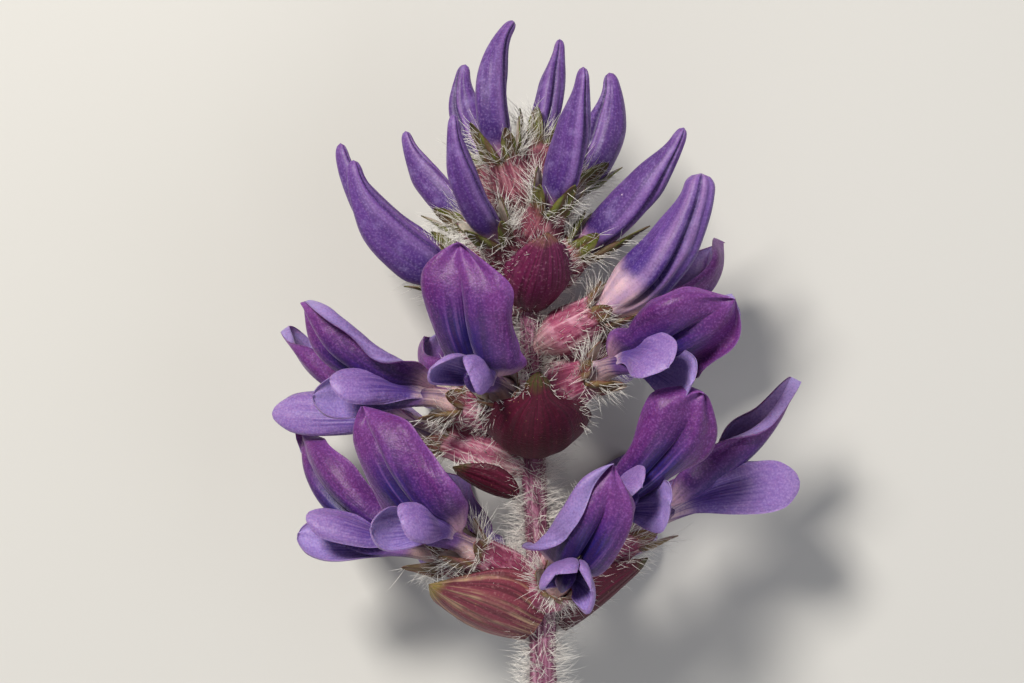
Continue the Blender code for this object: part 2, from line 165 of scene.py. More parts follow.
@dataclass(frozen=True)
class Axes:
    """A flower's own directions: along its axis, towards its upper edge, and to its side."""

    foot: np.ndarray
    axis: np.ndarray
    up: np.ndarray
    side: np.ndarray

    @classmethod
    def of(cls, height: float, turn: float, rise: float, roll: float) -> "Axes":
        """Find the directions of a piece that grows on the stem.

        Args:
            height: Where its foot is along Y.
            turn: Which way round the stem it points: 0 towards +Z, 90 towards +X.
            rise: How far it points to the spike's tip.
            roll: Its turn about its own axis.

        Returns:
            The directions.
        """
        turn, rise, roll = (math.radians(angle) for angle in (turn, rise, roll))
        outward = np.array((math.sin(turn), 0.0, math.cos(turn)))
        axis = outward * math.cos(rise) + UP * math.sin(rise)
        up = UP * math.cos(rise) - outward * math.sin(rise)
        up = up * math.cos(roll) + np.cross(axis, up) * math.sin(roll)
        return cls(stem_point(height), axis, up, np.cross(axis, up))

    def place(self, along: np.ndarray, up: np.ndarray, across: np.ndarray) -> np.ndarray:
        """Find points by these directions.

        Args:
            along: How far along the axis they are.
            up: How far up.
            across: How far to the side.

        Returns:
            The points.
        """
        along, up, across = np.broadcast_arrays(along, up, across)
        return (self.foot + along[..., None] * self.axis + up[..., None] * self.up
                + across[..., None] * self.side)

    def beside(self, along: np.ndarray, up: np.ndarray, heading: np.ndarray, lift: np.ndarray,
               across: np.ndarray) -> np.ndarray:
        """Return points that stand off a spine, at right angles to it.

        Args:
            along: How far along the spine is there.
            up: How far up it is there.
            heading: Which way it runs there.
            lift: How far the points stand off it in its own plane.
            across: How far they stand off it to the side.

        Returns:
            The points.
        """
        return self.place(along - np.sin(heading) * lift, up + np.cos(heading) * lift, across)


def walk(turn: Callable[[np.ndarray], np.ndarray], far: np.ndarray, steps: int = 24
         ) -> tuple[np.ndarray, np.ndarray]:
    """Follow a petal's cross-section from its middle line outwards.

    Args:
        turn: The section's angle to the side, in radians, at a share of the half width.
        far: How far to go, as a share of the half width.
        steps: How finely to follow it.

    Returns:
        How far to the side and how far up each end is, as shares of the half width.
    """
    far = np.asarray(far, float)
    angle = turn(far[..., None] * (np.arange(steps) + 0.5) / steps)
    return np.cos(angle).mean(-1) * far, np.sin(angle).mean(-1) * far


class Surface:
    """A curved surface with a point for every u along it and v across it."""

    def points(self, u: np.ndarray, v: np.ndarray) -> np.ndarray:
        """Return the points at u and v."""
        raise NotImplementedError

    def normals(self, u: np.ndarray, v: np.ndarray) -> np.ndarray:
        """Find the surface's normals, by small steps along and across.

        Args:
            u: Places along it, from 0 to 1.
            v: Places across it, from -1 to 1.

        Returns:
            The normals at length 1.
        """
        step = 0.004
        low, high = np.clip(u - step, 0.0, 1.0), np.clip(u + step, 0.0, 1.0)
        along = self.points(high, v) - self.points(low, v)
        across = self.points(u, v + step) - self.points(u, v - step)
        return unit(np.cross(along, across))


@dataclass(frozen=True)
class Leaf:
    """How a thin closed leaf is laid on both sides of a surface."""

    rows: int  # quads along it
    columns: int  # quads across it
    thickness: float  # in its middle
    crowd: float = 1.0  # over 1 where the rows crowd towards the tip
    wrap: bool = False  # whether the surface closes on itself across
    thin_rim: float = 0.55  # the share of the thickness that is lost at the rim


BANNER_LEAF = Leaf(64, 40, 0.2, crowd=1.35)
WING_LEAF = Leaf(36, 20, 0.18, crowd=1.35)
CALYX_LEAF = Leaf(26, 70, 0.22, wrap=True)
BRACT_LEAF = Leaf(44, 36, 0.3)

# Quads along and round each kind of closed body
KEEL_QUADS = (24, 16)
FILAMENT_QUADS = (3, 6)
ANTHER_QUADS = (8, 8)
HORN_QUADS = (72, 48)
STEM_QUADS = (260, 28)
PITH_QUADS = (2, 28)


class Draft:
    """Gathers the surfaces of one piece, and writes them as one mesh."""

    def __init__(self) -> None:
        """Start with nothing."""
        self.points: list[np.ndarray] = []
        self.values: list[np.ndarray] = []
        self.faces: list[tuple[np.ndarray, int]] = []
        self.count = 0

    def add(self, points: np.ndarray, values: np.ndarray, faces: Sequence[tuple[np.ndarray, int]]) -> None:
        """Add points and the faces between them.

        Args:
            points: One row a point, in millimetres.
            values: Each point's place along, across, and a random number of its part.
            faces: Arrays of triangles or of quads, by the points' numbers, each with the number of
                its material.
        """
        for block, skin in faces:
            self.faces.append((block + self.count, skin))
        self.points.append(points.reshape(-1, 3))
        self.values.append(values.reshape(-1, 3))
        self.count += len(self.points[-1])

    def shell(self, surface: Surface, leaf: Leaf, skin: int, luck: float, back_skin: int) -> None:
        """Add a thin closed leaf on both sides of a surface.

        Args:
            surface: The surface; v runs from -1 to 1 over it.
            leaf: How it is laid.
            skin: The number of the material on its front and its rim.
            luck: A number from 0 to 1 that the finish may vary by.
            back_skin: The number of the material on its back.
        """
        along = 1.0 - (1.0 - np.linspace(0.0, 1.0, leaf.rows + 1)) ** leaf.crowd
        across = np.linspace(-1.0, 1.0, leaf.columns + 1)
        if leaf.wrap:
            across = across[:-1]
        u, v = np.meshgrid(along, across, indexing="ij")
        middle, normals = surface.points(u, v), surface.normals(u, v)
        thick = leaf.thickness * (1.0 - leaf.thin_rim * smooth(0.9, 1.0, u))
        if not leaf.wrap:
            thick = thick * (1.0 - leaf.thin_rim * smooth(0.7, 1.0, np.abs(v)))
        half = 0.5 * thick[..., None] * normals
        values = np.stack((u, v, np.full_like(u, luck)), -1)
        index = self.numbers(u, leaf.wrap)
        quads = self.quads(index)
        rims = [index[0, ::-1], index[-1]]
        if not leaf.wrap:
            rims += [index[:, 0], index[::-1, -1]]
        bands = []
        for rim in rims:
            bands.append(np.stack((rim[1:], rim[:-1], rim[:-1] + u.size, rim[1:] + u.size), -1))
        self.add(np.concatenate((middle + half, middle - half)), np.concatenate((values, values)),
                 [(quads[:, ::-1], skin), (quads + u.size, back_skin),
                  (np.concatenate(bands)[:, ::-1], skin)])

    def tube(self, surface: Surface, size: tuple[int, int], skin: int, luck: float = 0.0) -> None:
        """Add a closed body round a surface that closes on itself across, with flat ends.

        Args:
            surface: The surface; v runs from -1 to 1 round it.
            size: Quads along it and round it.
            skin: The number of the material.
            luck: A number from 0 to 1 that the finish may vary by.
        """
        rows, columns = size
        u, v = np.meshgrid(np.linspace(0.0, 1.0, rows + 1), np.linspace(-1.0, 1.0, columns + 1)[:-1],
                           indexing="ij")
        points = surface.points(u, v)
        values = np.stack((u, v, np.full_like(u, luck)), -1)
        index = self.numbers(u, True)
        ends = points[[0, -1]].mean(1)
        end_values = np.array(((0.0, 0.0, luck), (1.0, 0.0, luck)))
        foot = np.stack((index[0, 1:], index[0, :-1], np.full(columns, u.size)), -1)
        tip = np.stack((index[-1, :-1], index[-1, 1:], np.full(columns, u.size + 1)), -1)
        self.add(np.concatenate((points.reshape(-1, 3), ends)),
                 np.concatenate((values.reshape(-1, 3), end_values)),
                 [(self.quads(index), skin), (foot, skin), (tip, skin)])

    @staticmethod
    def numbers(u: np.ndarray, wrap: bool) -> np.ndarray:
        """Return the number of each point of a net, with the first column again if it closes."""
        index = np.arange(u.size).reshape(u.shape)
        return np.concatenate((index, index[:, :1]), 1) if wrap else index

    @staticmethod
    def quads(index: np.ndarray) -> np.ndarray:
        """Return the quads between the numbered points of a net."""
        corners = (index[:-1, :-1], index[:-1, 1:], index[1:, 1:], index[1:, :-1])
        return np.stack(corners, -1).reshape(-1, 4)

    def mesh(self, name: str) -> bpy.types.Mesh:
        """Write the mesh in metres, with the points' values as its attributes.

        What would sink into the surface below the spike lies pressed on it.

        Args:
            name: The mesh's name.

        Returns:
            The mesh.
        """
        made = bpy.data.meshes.new(name)
        points = np.concatenate(self.points)
        low = points[:, 2] < PRESSED
        points[low, 2] = PRESSED * np.exp(points[low, 2] / PRESSED - 1.0)
        points = points * MM
        values = np.concatenate(self.values)
        sizes = np.concatenate([np.full(len(block), block.shape[1]) for block, _ in self.faces])
        skins = np.concatenate([np.full(len(block), int(skin)) for block, skin in self.faces])
        corners = np.concatenate([block.reshape(-1) for block, _ in self.faces])
        made.vertices.add(len(points))
        made.vertices.foreach_set("co", points.astype(np.float32).ravel())
        made.loops.add(len(corners))
        made.loops.foreach_set("vertex_index", corners.astype(np.int32))
        made.polygons.add(len(sizes))
        starts = np.concatenate(([0], np.cumsum(sizes)[:-1])).astype(np.int32)
        made.polygons.foreach_set("loop_start", starts)
        made.polygons.foreach_set("material_index", skins.astype(np.int32))
        made.update(calc_edges=True)
        made.validate()
        for column, word in enumerate(("along", "across", "luck")):
            stored = made.attributes.new(word, "FLOAT", "POINT")
            stored.data.foreach_set("value", values[:, column].astype(np.float32))
        made.shade_smooth()
        return made


def put(name: str, draft: Draft, skins: Sequence[bpy.types.Material],
        nodes: Sequence[str] = ()) -> bpy.types.Object:
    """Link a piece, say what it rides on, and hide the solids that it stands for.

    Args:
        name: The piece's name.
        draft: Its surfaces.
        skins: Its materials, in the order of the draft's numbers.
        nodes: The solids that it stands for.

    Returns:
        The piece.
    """
    mesh = draft.mesh(name)
    for skin in skins:
        mesh.materials.append(skin)
    piece = bpy.data.objects.new(name, mesh)
    bpy.context.scene.collection.objects.link(piece)
    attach(piece, "root")
    if nodes:
        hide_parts(*nodes)
    LOG.info("%s: %d faces", name, len(mesh.polygons))
    return piece


# Finishes

# How many finer octaves of cloud each kind of noise has
CLOUD_DETAIL = 3.0
STREAK_DETAIL = 2.0
GRAIN_DETAIL = 2.0
BUMP_DETAIL = 1.0

MIX_SHARE, MIX_UNDER, MIX_OVER, MIX_RESULT = 0, 6, 7, 2  # the sockets of a mix of two colours
LUCK_STEP = 37.0  # how far apart in the noise two parts of different luck get their streaks
GLOW_DEPTH = 0.4 * MM  # how far light strays in the soft tissue of a petal or a leaf
PETAL_SHEEN = "d9c4f2"


def linear(code: str) -> tuple[float, float, float, float]:
    """Turn an sRGB hex code, such as "80498d", to a linear colour with alpha 1."""
    parts = (int(code[k:k + 2], 16) / 255.0 for k in (0, 2, 4))
    return (*(p / 12.92 if p <= 0.04045 else ((p + 0.055) / 1.055) ** 2.4 for p in parts), 1.0)


def cells(size: float) -> float:
    """Return a texture's scale for a pattern of that size in millimetres."""
    return 1.0 / (size * MM)


def set_stops(ramp: bpy.types.ColorRamp, stops: Sequence[tuple[float, str]]) -> None:
    """Give a ramp its colours.

    Args:
        ramp: The ramp.
        stops: Places from 0 to 1, each with its sRGB hex code.
    """
    ramp.interpolation = "EASE"
    while len(ramp.elements) < len(stops):
        ramp.elements.new(0.5)
    for element, (place, code) in zip(ramp.elements, stops):
        element.position = place
        element.color = linear(code)


class Skin:
    """A material under way: its shader, its tree, and the patterns that finishes share."""

    def __init__(self, name: str, sockets: dict) -> None:
        """Make a material with one Principled shader.

        Args:
            name: The material's name.
            sockets: The shader's values by the name of their input.
        """
        self.material = bpy.data.materials.new(name)
        self.material.use_nodes = True
        self.shader = self.material.node_tree.nodes["Principled BSDF"]
        for word, value in sockets.items():
            self.shader.inputs[word].default_value = value
        self.where = self.node("TexCoord", {}, {}, "Object")

    def node(self, kind: str, settings: dict, inputs: dict, output: int | str = 0) -> bpy.types.NodeSocket:
        """Add a node, with its settings and the links into it.

        Args:
            kind: Blender's name of the node, without the word ShaderNode before it.
            settings: Its properties by name, and the stops of a ramp.
            inputs: Numbers, colours and outputs of other nodes, by the name or number of the input.
            output: The name or the number of the output that is wanted.

        Returns:
            The output.
        """
        tree = self.material.node_tree
        made = tree.nodes.new("ShaderNode" + kind)
        for word, value in settings.items():
            if word == "stops":
                set_stops(made.color_ramp, value)
            else:
                setattr(made, word, value)
        for word, part in inputs.items():
            if isinstance(part, bpy.types.NodeSocket):
                tree.links.new(part, made.inputs[word])
            else:
                made.inputs[word].default_value = part
        return made.outputs[output]

    @cached_property
    def along(self) -> bpy.types.NodeSocket:
        """How far along its part a point is, from 0 to 1."""
        return self.node("Attribute", {"attribute_name": "along"}, {}, "Fac")

    @cached_property
    def across(self) -> bpy.types.NodeSocket:
        """How far across its part a point is, from -1 to 1."""
        return self.node("Attribute", {"attribute_name": "across"}, {}, "Fac")

    @cached_property
    def off(self) -> bpy.types.NodeSocket:
        """How far from the middle of its part a point is, from 0 to 1."""
        return self.node("Math", {"operation": "ABSOLUTE"}, {0: self.across})

    def pattern(self, part: object, detail: float = CLOUD_DETAIL) -> bpy.types.NodeSocket:
        """Return a pattern that is named by its size.

        Args:
            part: The size of its clouds in millimetres, or an output, which stays as it is.
            detail: How many finer octaves the clouds have.

        Returns:
            The pattern, from 0 to 1.
        """
        if isinstance(part, bpy.types.NodeSocket):
            return part
        return self.node("TexNoise", {}, {"Vector": self.where, "Scale": cells(part), "Detail": detail})

    def strayed(self, value: bpy.types.NodeSocket, size: float, reach: float) -> bpy.types.NodeSocket:
        """Return a value that strays up and down by the reach, in clouds of a size in millimetres."""
        shift = self.node("Math", {"operation": "SUBTRACT"}, {0: self.pattern(size), 1: 0.5})
        return self.node("Math", {"operation": "MULTIPLY_ADD"}, {0: shift, 1: reach, 2: value})

    def mask(self, *steps: tuple) -> bpy.types.NodeSocket:
        """Return the product of patterns that are each eased over a range.

        Args:
            steps: For each, a pattern or its size in millimetres, where the easing starts and ends,
                and its results there where they aren't 0 and 1. One with nothing more is not eased.

        Returns:
            The product.
        """
        product = None
        for part, *span in steps:
            value = self.pattern(part)
            if span:
                low, high, start, end = span if len(span) > 2 else (*span, 0.0, 1.0)
                value = self.node("MapRange", {"interpolation_type": "SMOOTHSTEP"},
                                  {"Value": value, "From Min": low, "From Max": high, "To Min": start,
                                   "To Max": end})
            if product is not None:
                value = self.node("Math", {"operation": "MULTIPLY"}, {0: product, 1: value})
            product = value
        return product

    def paint(self, colour: bpy.types.NodeSocket, *coats: tuple) -> bpy.types.NodeSocket:
        """Lay coats over a colour.

        Args:
            colour: What is under them.
            coats: For each, its mask and its sRGB hex code.

        Returns:
            The painted colour.
        """
        for share, code in coats:
            inputs = {MIX_SHARE: share, MIX_UNDER: colour, MIX_OVER: linear(code)}
            colour = self.node("Mix", {"data_type": "RGBA"}, inputs, MIX_RESULT)
        return colour

    def streaks(self, count: float, stretch: float, fan: float = 0.0) -> bpy.types.NodeSocket:
        """Return streaks that run along the piece.

        Args:
            count: How many there are over its width.
            stretch: How many times they change over its length.
            fan: The share of them that runs out at the margins before the tip.

        Returns:
            Values from 0 to 1 round 0.5.
        """
        luck = self.node("Attribute", {"attribute_name": "luck"}, {}, "Fac")
        parts = []
        for value, factor in ((self.along, stretch), (self.across, count / 2.0), (luck, LUCK_STEP)):
            parts.append(self.node("Math", {"operation": "MULTIPLY"}, {0: value, 1: factor}))
        if fan:
            kept = self.node("Math", {"operation": "MULTIPLY_ADD"}, {0: self.along, 1: -fan, 2: 1.0})
            parts[1] = self.node("Math", {"operation": "MULTIPLY"}, {0: parts[1], 1: kept})
        where = self.node("CombineXYZ", {}, dict(enumerate(parts)))
        return self.node("TexNoise", {}, {"Vector": where, "Scale": 1.0, "Detail": STREAK_DETAIL})

    def dots(self, spacing: float, width: float, kept: float) -> bpy.types.NodeSocket:
        """Return scattered round dots as a mask.

        Args:
            spacing: Millimetres from one to the next.
            width: Millimetres across one.
            kept: The share of them that shows.

        Returns:
            1 in a dot and 0 outside.
        """
        distance = self.node("TexVoronoi", {}, {"Vector": self.where, "Scale": cells(spacing)}, "Distance")
        shade = self.node("SeparateColor", {}, {0: distance.node.outputs["Color"]})
        shown = self.node("Math", {"operation": "LESS_THAN"}, {0: shade, 1: kept})
        share = width / spacing
        return self.mask((distance, share * 0.35, share * 0.6, 1.0, 0.0), (shown,))

    def relief(self, *parts: tuple[object, float]) -> bpy.types.NodeSocket:
        """Return a height that adds up patterns.

        Args:
            parts: For each, a pattern or the size in millimetres of fine bumps, and its share.

        Returns:
            The height.
        """
        height = 0.0
        for part, share in parts:
            pattern = self.pattern(part, BUMP_DETAIL)
            height = self.node("Math", {"operation": "MULTIPLY_ADD"}, {0: pattern, 1: share, 2: height})
        return height

    def done(self, colour: bpy.types.NodeSocket, height: bpy.types.NodeSocket | None = None,
             depth: float = 0.0, strength: float = 0.0) -> bpy.types.Material:
        """Link the colour and the bump, and return the material.

        Args:
            colour: The base colour.
            height: The bump's height, from 0 to 1.
            depth: What 1 is in millimetres.
            strength: The bump's strength.

        Returns:
            The material.
        """
        tree = self.material.node_tree
        tree.links.new(colour, self.shader.inputs["Base Color"])
        if height is not None:
            bump = self.node("Bump", {}, {"Height": height, "Strength": strength, "Distance": depth * MM})
            tree.links.new(bump, self.shader.inputs["Normal"])
        return self.material


@dataclass(frozen=True)
class PetalSkin:
    """Fresh petal: thin, moist cells under a soft wax, so it glows a little and has a satin sheen."""

    name: str
    claw: str  # at its root
    throat: str  # where the blade starts
    blade: str
    margin: str
    guide: str  # the dark mark on both sides of the crease
    guide_share: float
    vein: str
    eye: str  # the pale spot between the guides
    eye_share: float
    glint: str  # painted highlight of its brightest cells, and the colour of the pale streaks in the guide
    claw_end: float = 0.19  # where along it the claw's colour ends
    margin_from: float = 0.78  # where across it the margin's colour starts
    dust: str = "d4c2cc"
    pollen: tuple[float, float, float] = (1.4, 0.08, 0.08)  # mm apart, mm wide, share that shows
    veins: float = 32.0  # over its width, so one in about 0.35 mm
    stray: tuple[float, float] = (2.4, 0.16)  # mm, and the share of its length that its colours stray by
    cloud: float = 3.5  # mm
    cell: float = 0.17  # mm; the real cells of 0.03 mm are too fine to show
    papilla: float = 0.12  # mm; the bumps of the same cells, as coarse as they need to be to show
    dent: float = 1.1  # mm

    def make(self) -> bpy.types.Material:
        """Make the material: a run of colour, the guide and its eye, veins, pollen dust, and a painted
        highlight on its cells.

        Returns:
            The material.
        """
        skin = Skin(self.name, {
            "Roughness": 0.48, "Subsurface Weight": 0.12, "Subsurface Scale": GLOW_DEPTH,
            "Sheen Weight": 0.18, "Sheen Roughness": 0.4, "Sheen Tint": linear(PETAL_SHEEN),
            "Specular IOR Level": 0.4})
        along, off = skin.along, skin.off
        place = skin.strayed(along, *self.stray)
        colour = skin.node("ValToRGB", {"stops": (
            (0.0, self.claw), (self.claw_end, self.claw), (self.claw_end + 0.15, self.throat),
            (self.claw_end + 0.4, self.blade), (0.86, self.blade), (1.0, self.margin))}, {"Fac": place})
        edge = skin.mask((skin.strayed(off, *self.stray), self.margin_from, 1.0, 0.0, 0.75))
        inner = ((off, 0.2, 0.72, 1.0, 0.0), (place, 0.2, 0.3))
        guide = skin.mask(*inner, (place, 0.54, 0.9, 1.0, 0.0))
        mark = skin.mask(*inner, (place, 0.54, 0.9, self.guide_share, 0.0))
        eye = skin.mask((off, 0.05, 0.3, 1.0, 0.0), (place, 0.1, 0.17),
                        (place, 0.24, 0.34, self.eye_share, 0.0))
        veins = skin.streaks(self.veins, 1.6, 0.45)
        lines = skin.mask((veins, 0.42, 0.53, 1.0, 0.0), (off, 0.2, 0.8, 0.8, 0.3),
                          (along, 0.6, 0.9, 1.0, 0.0),
                          (place, self.claw_end * 0.6, self.claw_end + 0.1, 0.1, 1.0))
        pale = skin.mask((veins, 0.56, 0.68, 0.0, 0.32), (guide,))
        # The guide stays clear of most of the clouds and of the painted highlight on the cells
        no_cloud, no_glint = (skin.node("Math", {"operation": "SUBTRACT"}, {0: most, 1: guide})
                              for most in (1.1, 1.15))
        cloud = skin.mask((self.cloud, 0.35, 0.7, 0.0, 0.28), (no_cloud,))
        grain = skin.pattern(self.cell, GRAIN_DETAIL)
        # Painted highlight: the brightest of the fine cells are lightened, as if they caught the light
        painted_highlight = skin.mask((grain, 0.48, 0.72, 0.0, 0.3), (no_glint,))
        colour = skin.paint(
            colour, (edge, self.margin), (mark, self.guide), (eye, self.eye), (lines, self.vein),
            (pale, self.glint), (cloud, self.margin), (skin.dots(*self.pollen), self.dust),
            (painted_highlight, self.glint), (skin.mask((grain, 0.3, 0.5, 0.3, 0.0)), self.vein))
        ridges = skin.mask((veins,), (along, 0.6, 0.92, 0.8, 0.0))
        height = skin.relief((ridges, 1.0), (self.papilla, 0.3), (self.dent, 1.4))
        return skin.done(colour, height, 0.16, 0.6)


@dataclass(frozen=True)
class BudSkin:
    """Petal of a closed bud: smooth and taut, with more wax and a plain satin gloss."""

    name: str
    claw: str
    throat: str
    blade: str
    tip: str
    pale: str  # the streak along its back
    # The seam's colour is painted shade under the margin that lies over the other; it also darkens the
    # veins and some cells
    seam: str
    claw_end: float = 0.14  # where along it the claw's colour ends
    bloom: str = "9a86c0"  # of the wax that lies on it in clouds
    glint: str = "a088bc"  # painted highlight of its brightest cells
    dust: str = "c4b0bc"
    pollen: tuple[float, float, float] = (2.2, 0.14, 0.14)  # mm apart, mm wide, share that shows
    veins: float = 26.0  # round it, so one in about 0.35 mm
    stray: tuple[float, float] = (2.0, 0.14)  # mm, and the share of its length that its colours stray by
    cloud: float = 1.1  # mm
    cell: float = 0.17  # mm; the real cells of 0.03 mm are too fine to show
    papilla: float = 0.12  # mm; the bumps of the same cells, as coarse as they need to be to show

    def make(self) -> bpy.types.Material:
        """Make the material: pale at its root, streaked, with painted shade in the seam and a painted
        highlight on its cells.

        Returns:
            The material.
        """
        skin = Skin(self.name, {
            "Roughness": 0.5, "Subsurface Weight": 0.1, "Subsurface Scale": GLOW_DEPTH,
            "Sheen Weight": 0.12, "Sheen Roughness": 0.35, "Sheen Tint": linear(PETAL_SHEEN),
            "Specular IOR Level": 0.36})
        # across is 0 in the seam and 1 or -1 at the back
        along, across, off = skin.along, skin.across, skin.off
        place = skin.strayed(along, *self.stray)
        colour = skin.node("ValToRGB", {"stops": (
            (0.0, self.claw), (self.claw_end, self.claw), (self.claw_end + 0.12, self.throat),
            (self.claw_end + 0.38, self.blade), (0.8, self.blade), (1.0, self.tip))}, {"Fac": place})
        back = skin.mask((skin.strayed(off, *self.stray), 0.55, 0.95, 0.0, 0.75))
        lip = skin.mask((off, 0.05, 0.13), (off, 0.13, 0.26, 0.55, 0.0))
        # Painted shade: a dark strip in the seam, beside the margin that lies over it
        seam = skin.mask((across, -0.11, -0.025), (across, 0.0, 0.03, 1.0, 0.0),
                         (along, 0.2, 0.34, 0.0, 0.7))
        veins = skin.streaks(self.veins, 2.0)
        grain = skin.pattern(self.cell, GRAIN_DETAIL)
        # The glint coat is a painted highlight on the brightest cells
        colour = skin.paint(
            colour, (back, self.pale), (lip, self.pale), (seam, self.seam),
            (skin.mask((veins, 0.4, 0.62, 0.28, 0.0)), self.seam),
            (skin.mask((self.cloud, 0.5, 0.72, 0.0, 0.25)), self.bloom),
            (skin.mask((grain, 0.48, 0.74, 0.0, 0.28)), self.glint),
            (skin.mask((grain, 0.3, 0.5, 0.22, 0.0)), self.seam), (skin.dots(*self.pollen), self.dust))
        return skin.done(colour, skin.relief((veins, 0.6), (self.papilla, 0.3)), 0.1, 0.5)


@dataclass(frozen=True)
class CalyxSkin:
    """Calyx: a soft herb's skin, matt, ribbed and dotted with amber glands."""

    name: str
    foot: str
    tube: str
    rib: str
    tooth: str
    light: str  # painted highlight streaks between the ribs
    highlight_cloud: str  # painted highlight, in clouds on its tube
    mouth: float = 0.62  # the place along it where the teeth start
    gland: str = "b98d5a"
    glands: tuple[float, float, float] = (0.4, 0.08, 0.3)  # mm apart, mm wide, share that shows
    ribs: float = 34.0  # round it, so one in about 0.3 mm
    stray: tuple[float, float] = (1.2, 0.25)  # mm, and the share of its length that its colours stray by
    cloud: float = 0.8  # mm
    wrinkle: float = 0.15  # mm

    def make(self) -> bpy.types.Material:
        """Make the material: dark ribs with painted highlight streaks between them, clouds of painted
        highlight, and glands.

        Returns:
            The material.
        """
        skin = Skin(self.name, {
            "Roughness": 0.55, "Subsurface Weight": 0.08, "Subsurface Scale": GLOW_DEPTH,
            "Specular IOR Level": 0.4})
        place = skin.strayed(skin.along, *self.stray)
        colour = skin.node("ValToRGB", {"stops": (
            (0.0, self.foot), (0.12, self.foot), (0.34, self.tube), (self.mouth - 0.06, self.tube),
            (self.mouth + 0.12, self.tooth), (1.0, self.tooth))}, {"Fac": place})
        ribs = skin.streaks(self.ribs, 1.6)
        on_tube = (place, self.mouth, self.mouth + 0.12, 1.0, 0.15)
        # Painted highlights: pale streaks between the ribs and pale clouds on the tube
        colour = skin.paint(
            colour, (skin.mask((ribs, 0.42, 0.58, 0.6, 0.0)), self.rib),
            (skin.mask((ribs, 0.54, 0.68, 0.0, 0.6), on_tube), self.light),
            (skin.mask((self.cloud, 0.46, 0.68, 0.0, 0.6), on_tube), self.highlight_cloud),
            (skin.dots(*self.glands), self.gland))
        return skin.done(colour, skin.relief((ribs, 1.0), (self.wrinkle, 0.4)), 0.16, 0.7)


@dataclass(frozen=True)
class BractSkin:
    """Bract: a thin, leathery leaf, matt to satin, finely ribbed along it and dotted with glands."""

    name: str
    foot: str
    body: str
    cusp: str
    cusp_from: float
    stripe: str
    strength: float  # how strongly the stripes show
    stripes: float  # how many there are across it
    glint: str  # painted highlight of its brightest cells
    rib: str = "2a0a12"
    gland: str = "a87a58"
    glands: tuple[float, float, float] = (0.3, 0.07, 0.22)  # mm apart, mm wide, share that shows
    stray: tuple[float, float] = (1.5, 0.3)  # mm, and the share of its length that its colours stray by
    patch: float = 2.6  # mm
    cell: float = 0.24  # mm; the real cells of 0.05 mm are too fine to show
    wrinkle: float = 0.2  # mm

    def make(self) -> bpy.types.Material:
        """Make the material: ribs, stripes along it, a green cusp, amber dots and a painted highlight on
        its cells.

        Returns:
            The material.
        """
        skin = Skin(self.name, {
            "Roughness": 0.5, "Subsurface Weight": 0.05, "Subsurface Scale": GLOW_DEPTH,
            "Specular IOR Level": 0.3})
        colour = skin.node("ValToRGB", {"stops": (
            (0.0, self.foot), (0.25, self.body), (self.cusp_from, self.body),
            (min(1.0, self.cusp_from + 0.16), self.cusp))}, {"Fac": skin.strayed(skin.along, *self.stray)})
        bands, ribs = skin.streaks(self.stripes, 1.1), skin.streaks(self.stripes * 2.6, 1.6)
        stripes = skin.mask((bands, 0.48, 0.64, 0.0, self.strength), (self.patch, 0.36, 0.6, 0.25, 1.0))
        # The glint coat is a painted highlight in clouds of fine cells
        colour = skin.paint(
            colour, (stripes, self.stripe), (skin.mask((ribs, 0.38, 0.56, 0.5, 0.0)), self.rib),
            (skin.mask((self.cell, 0.54, 0.76, 0.0, 0.45)), self.glint),
            (skin.dots(*self.glands), self.gland))
        return skin.done(colour, skin.relief((bands, 1.0), (self.wrinkle, 0.5)), 0.16, 0.7)


@dataclass(frozen=True)
class StemSkin:
    """Stem: the matt skin of a herb, pink and maroon in fine streaks."""

    name: str
    streak: str
    body: str
    light: str
    stain: str  # of the clouds on it
    streaks: tuple[float, float] = (20.0, 14.0)  # round it, and changes over its length
    cloud: float = 1.6  # mm
    wrinkle: float = 0.2  # mm

    def make(self) -> bpy.types.Material:
        """Make the material: streaks, with clouds and fine wrinkles on them.

        Returns:
            The material.
        """
        skin = Skin(self.name, {"Roughness": 0.6, "Specular IOR Level": 0.4})
        streaks = skin.streaks(*self.streaks)
        stops = ((0.3, self.streak), (0.5, self.body), (0.68, self.light))
        colour = skin.node("ValToRGB", {"stops": stops}, {"Fac": streaks})
        colour = skin.paint(colour, (skin.mask((self.cloud, 0.5, 0.75, 0.0, 0.45)), self.stain))
        return skin.done(colour, skin.relief((streaks, 1.0), (self.wrinkle, 0.6)), 0.2, 0.7)


@dataclass(frozen=True)
class PlainSkin:
    """A finish of one tone with a slight change, for what is too small to show a pattern."""

    name: str
    tone: str
    other: str
    roughness: float
    cloud: float = 0.8  # mm

    def make(self) -> bpy.types.Material:
        """Make the material.

        Returns:
            The material.
        """
        skin = Skin(self.name, {"Roughness": self.roughness, "Specular IOR Level": 0.5})
        stops = ((0.35, self.tone), (0.65, self.other))
        return skin.done(skin.node("ValToRGB", {"stops": stops}, {"Fac": skin.pattern(self.cloud)}))


@dataclass(frozen=True)
class HairSkin:
    """Plant hair: clear, hollow cells that look silvery white, with a fine gloss."""

    name: str
    tone: str

    def make(self) -> bpy.types.Material:
        """Return the material, of one tone, because a hair is too fine to show a pattern."""
        return Skin(self.name, {"Roughness": 0.35, "Specular IOR Level": 0.6,
                                "Base Color": linear(self.tone)}).material


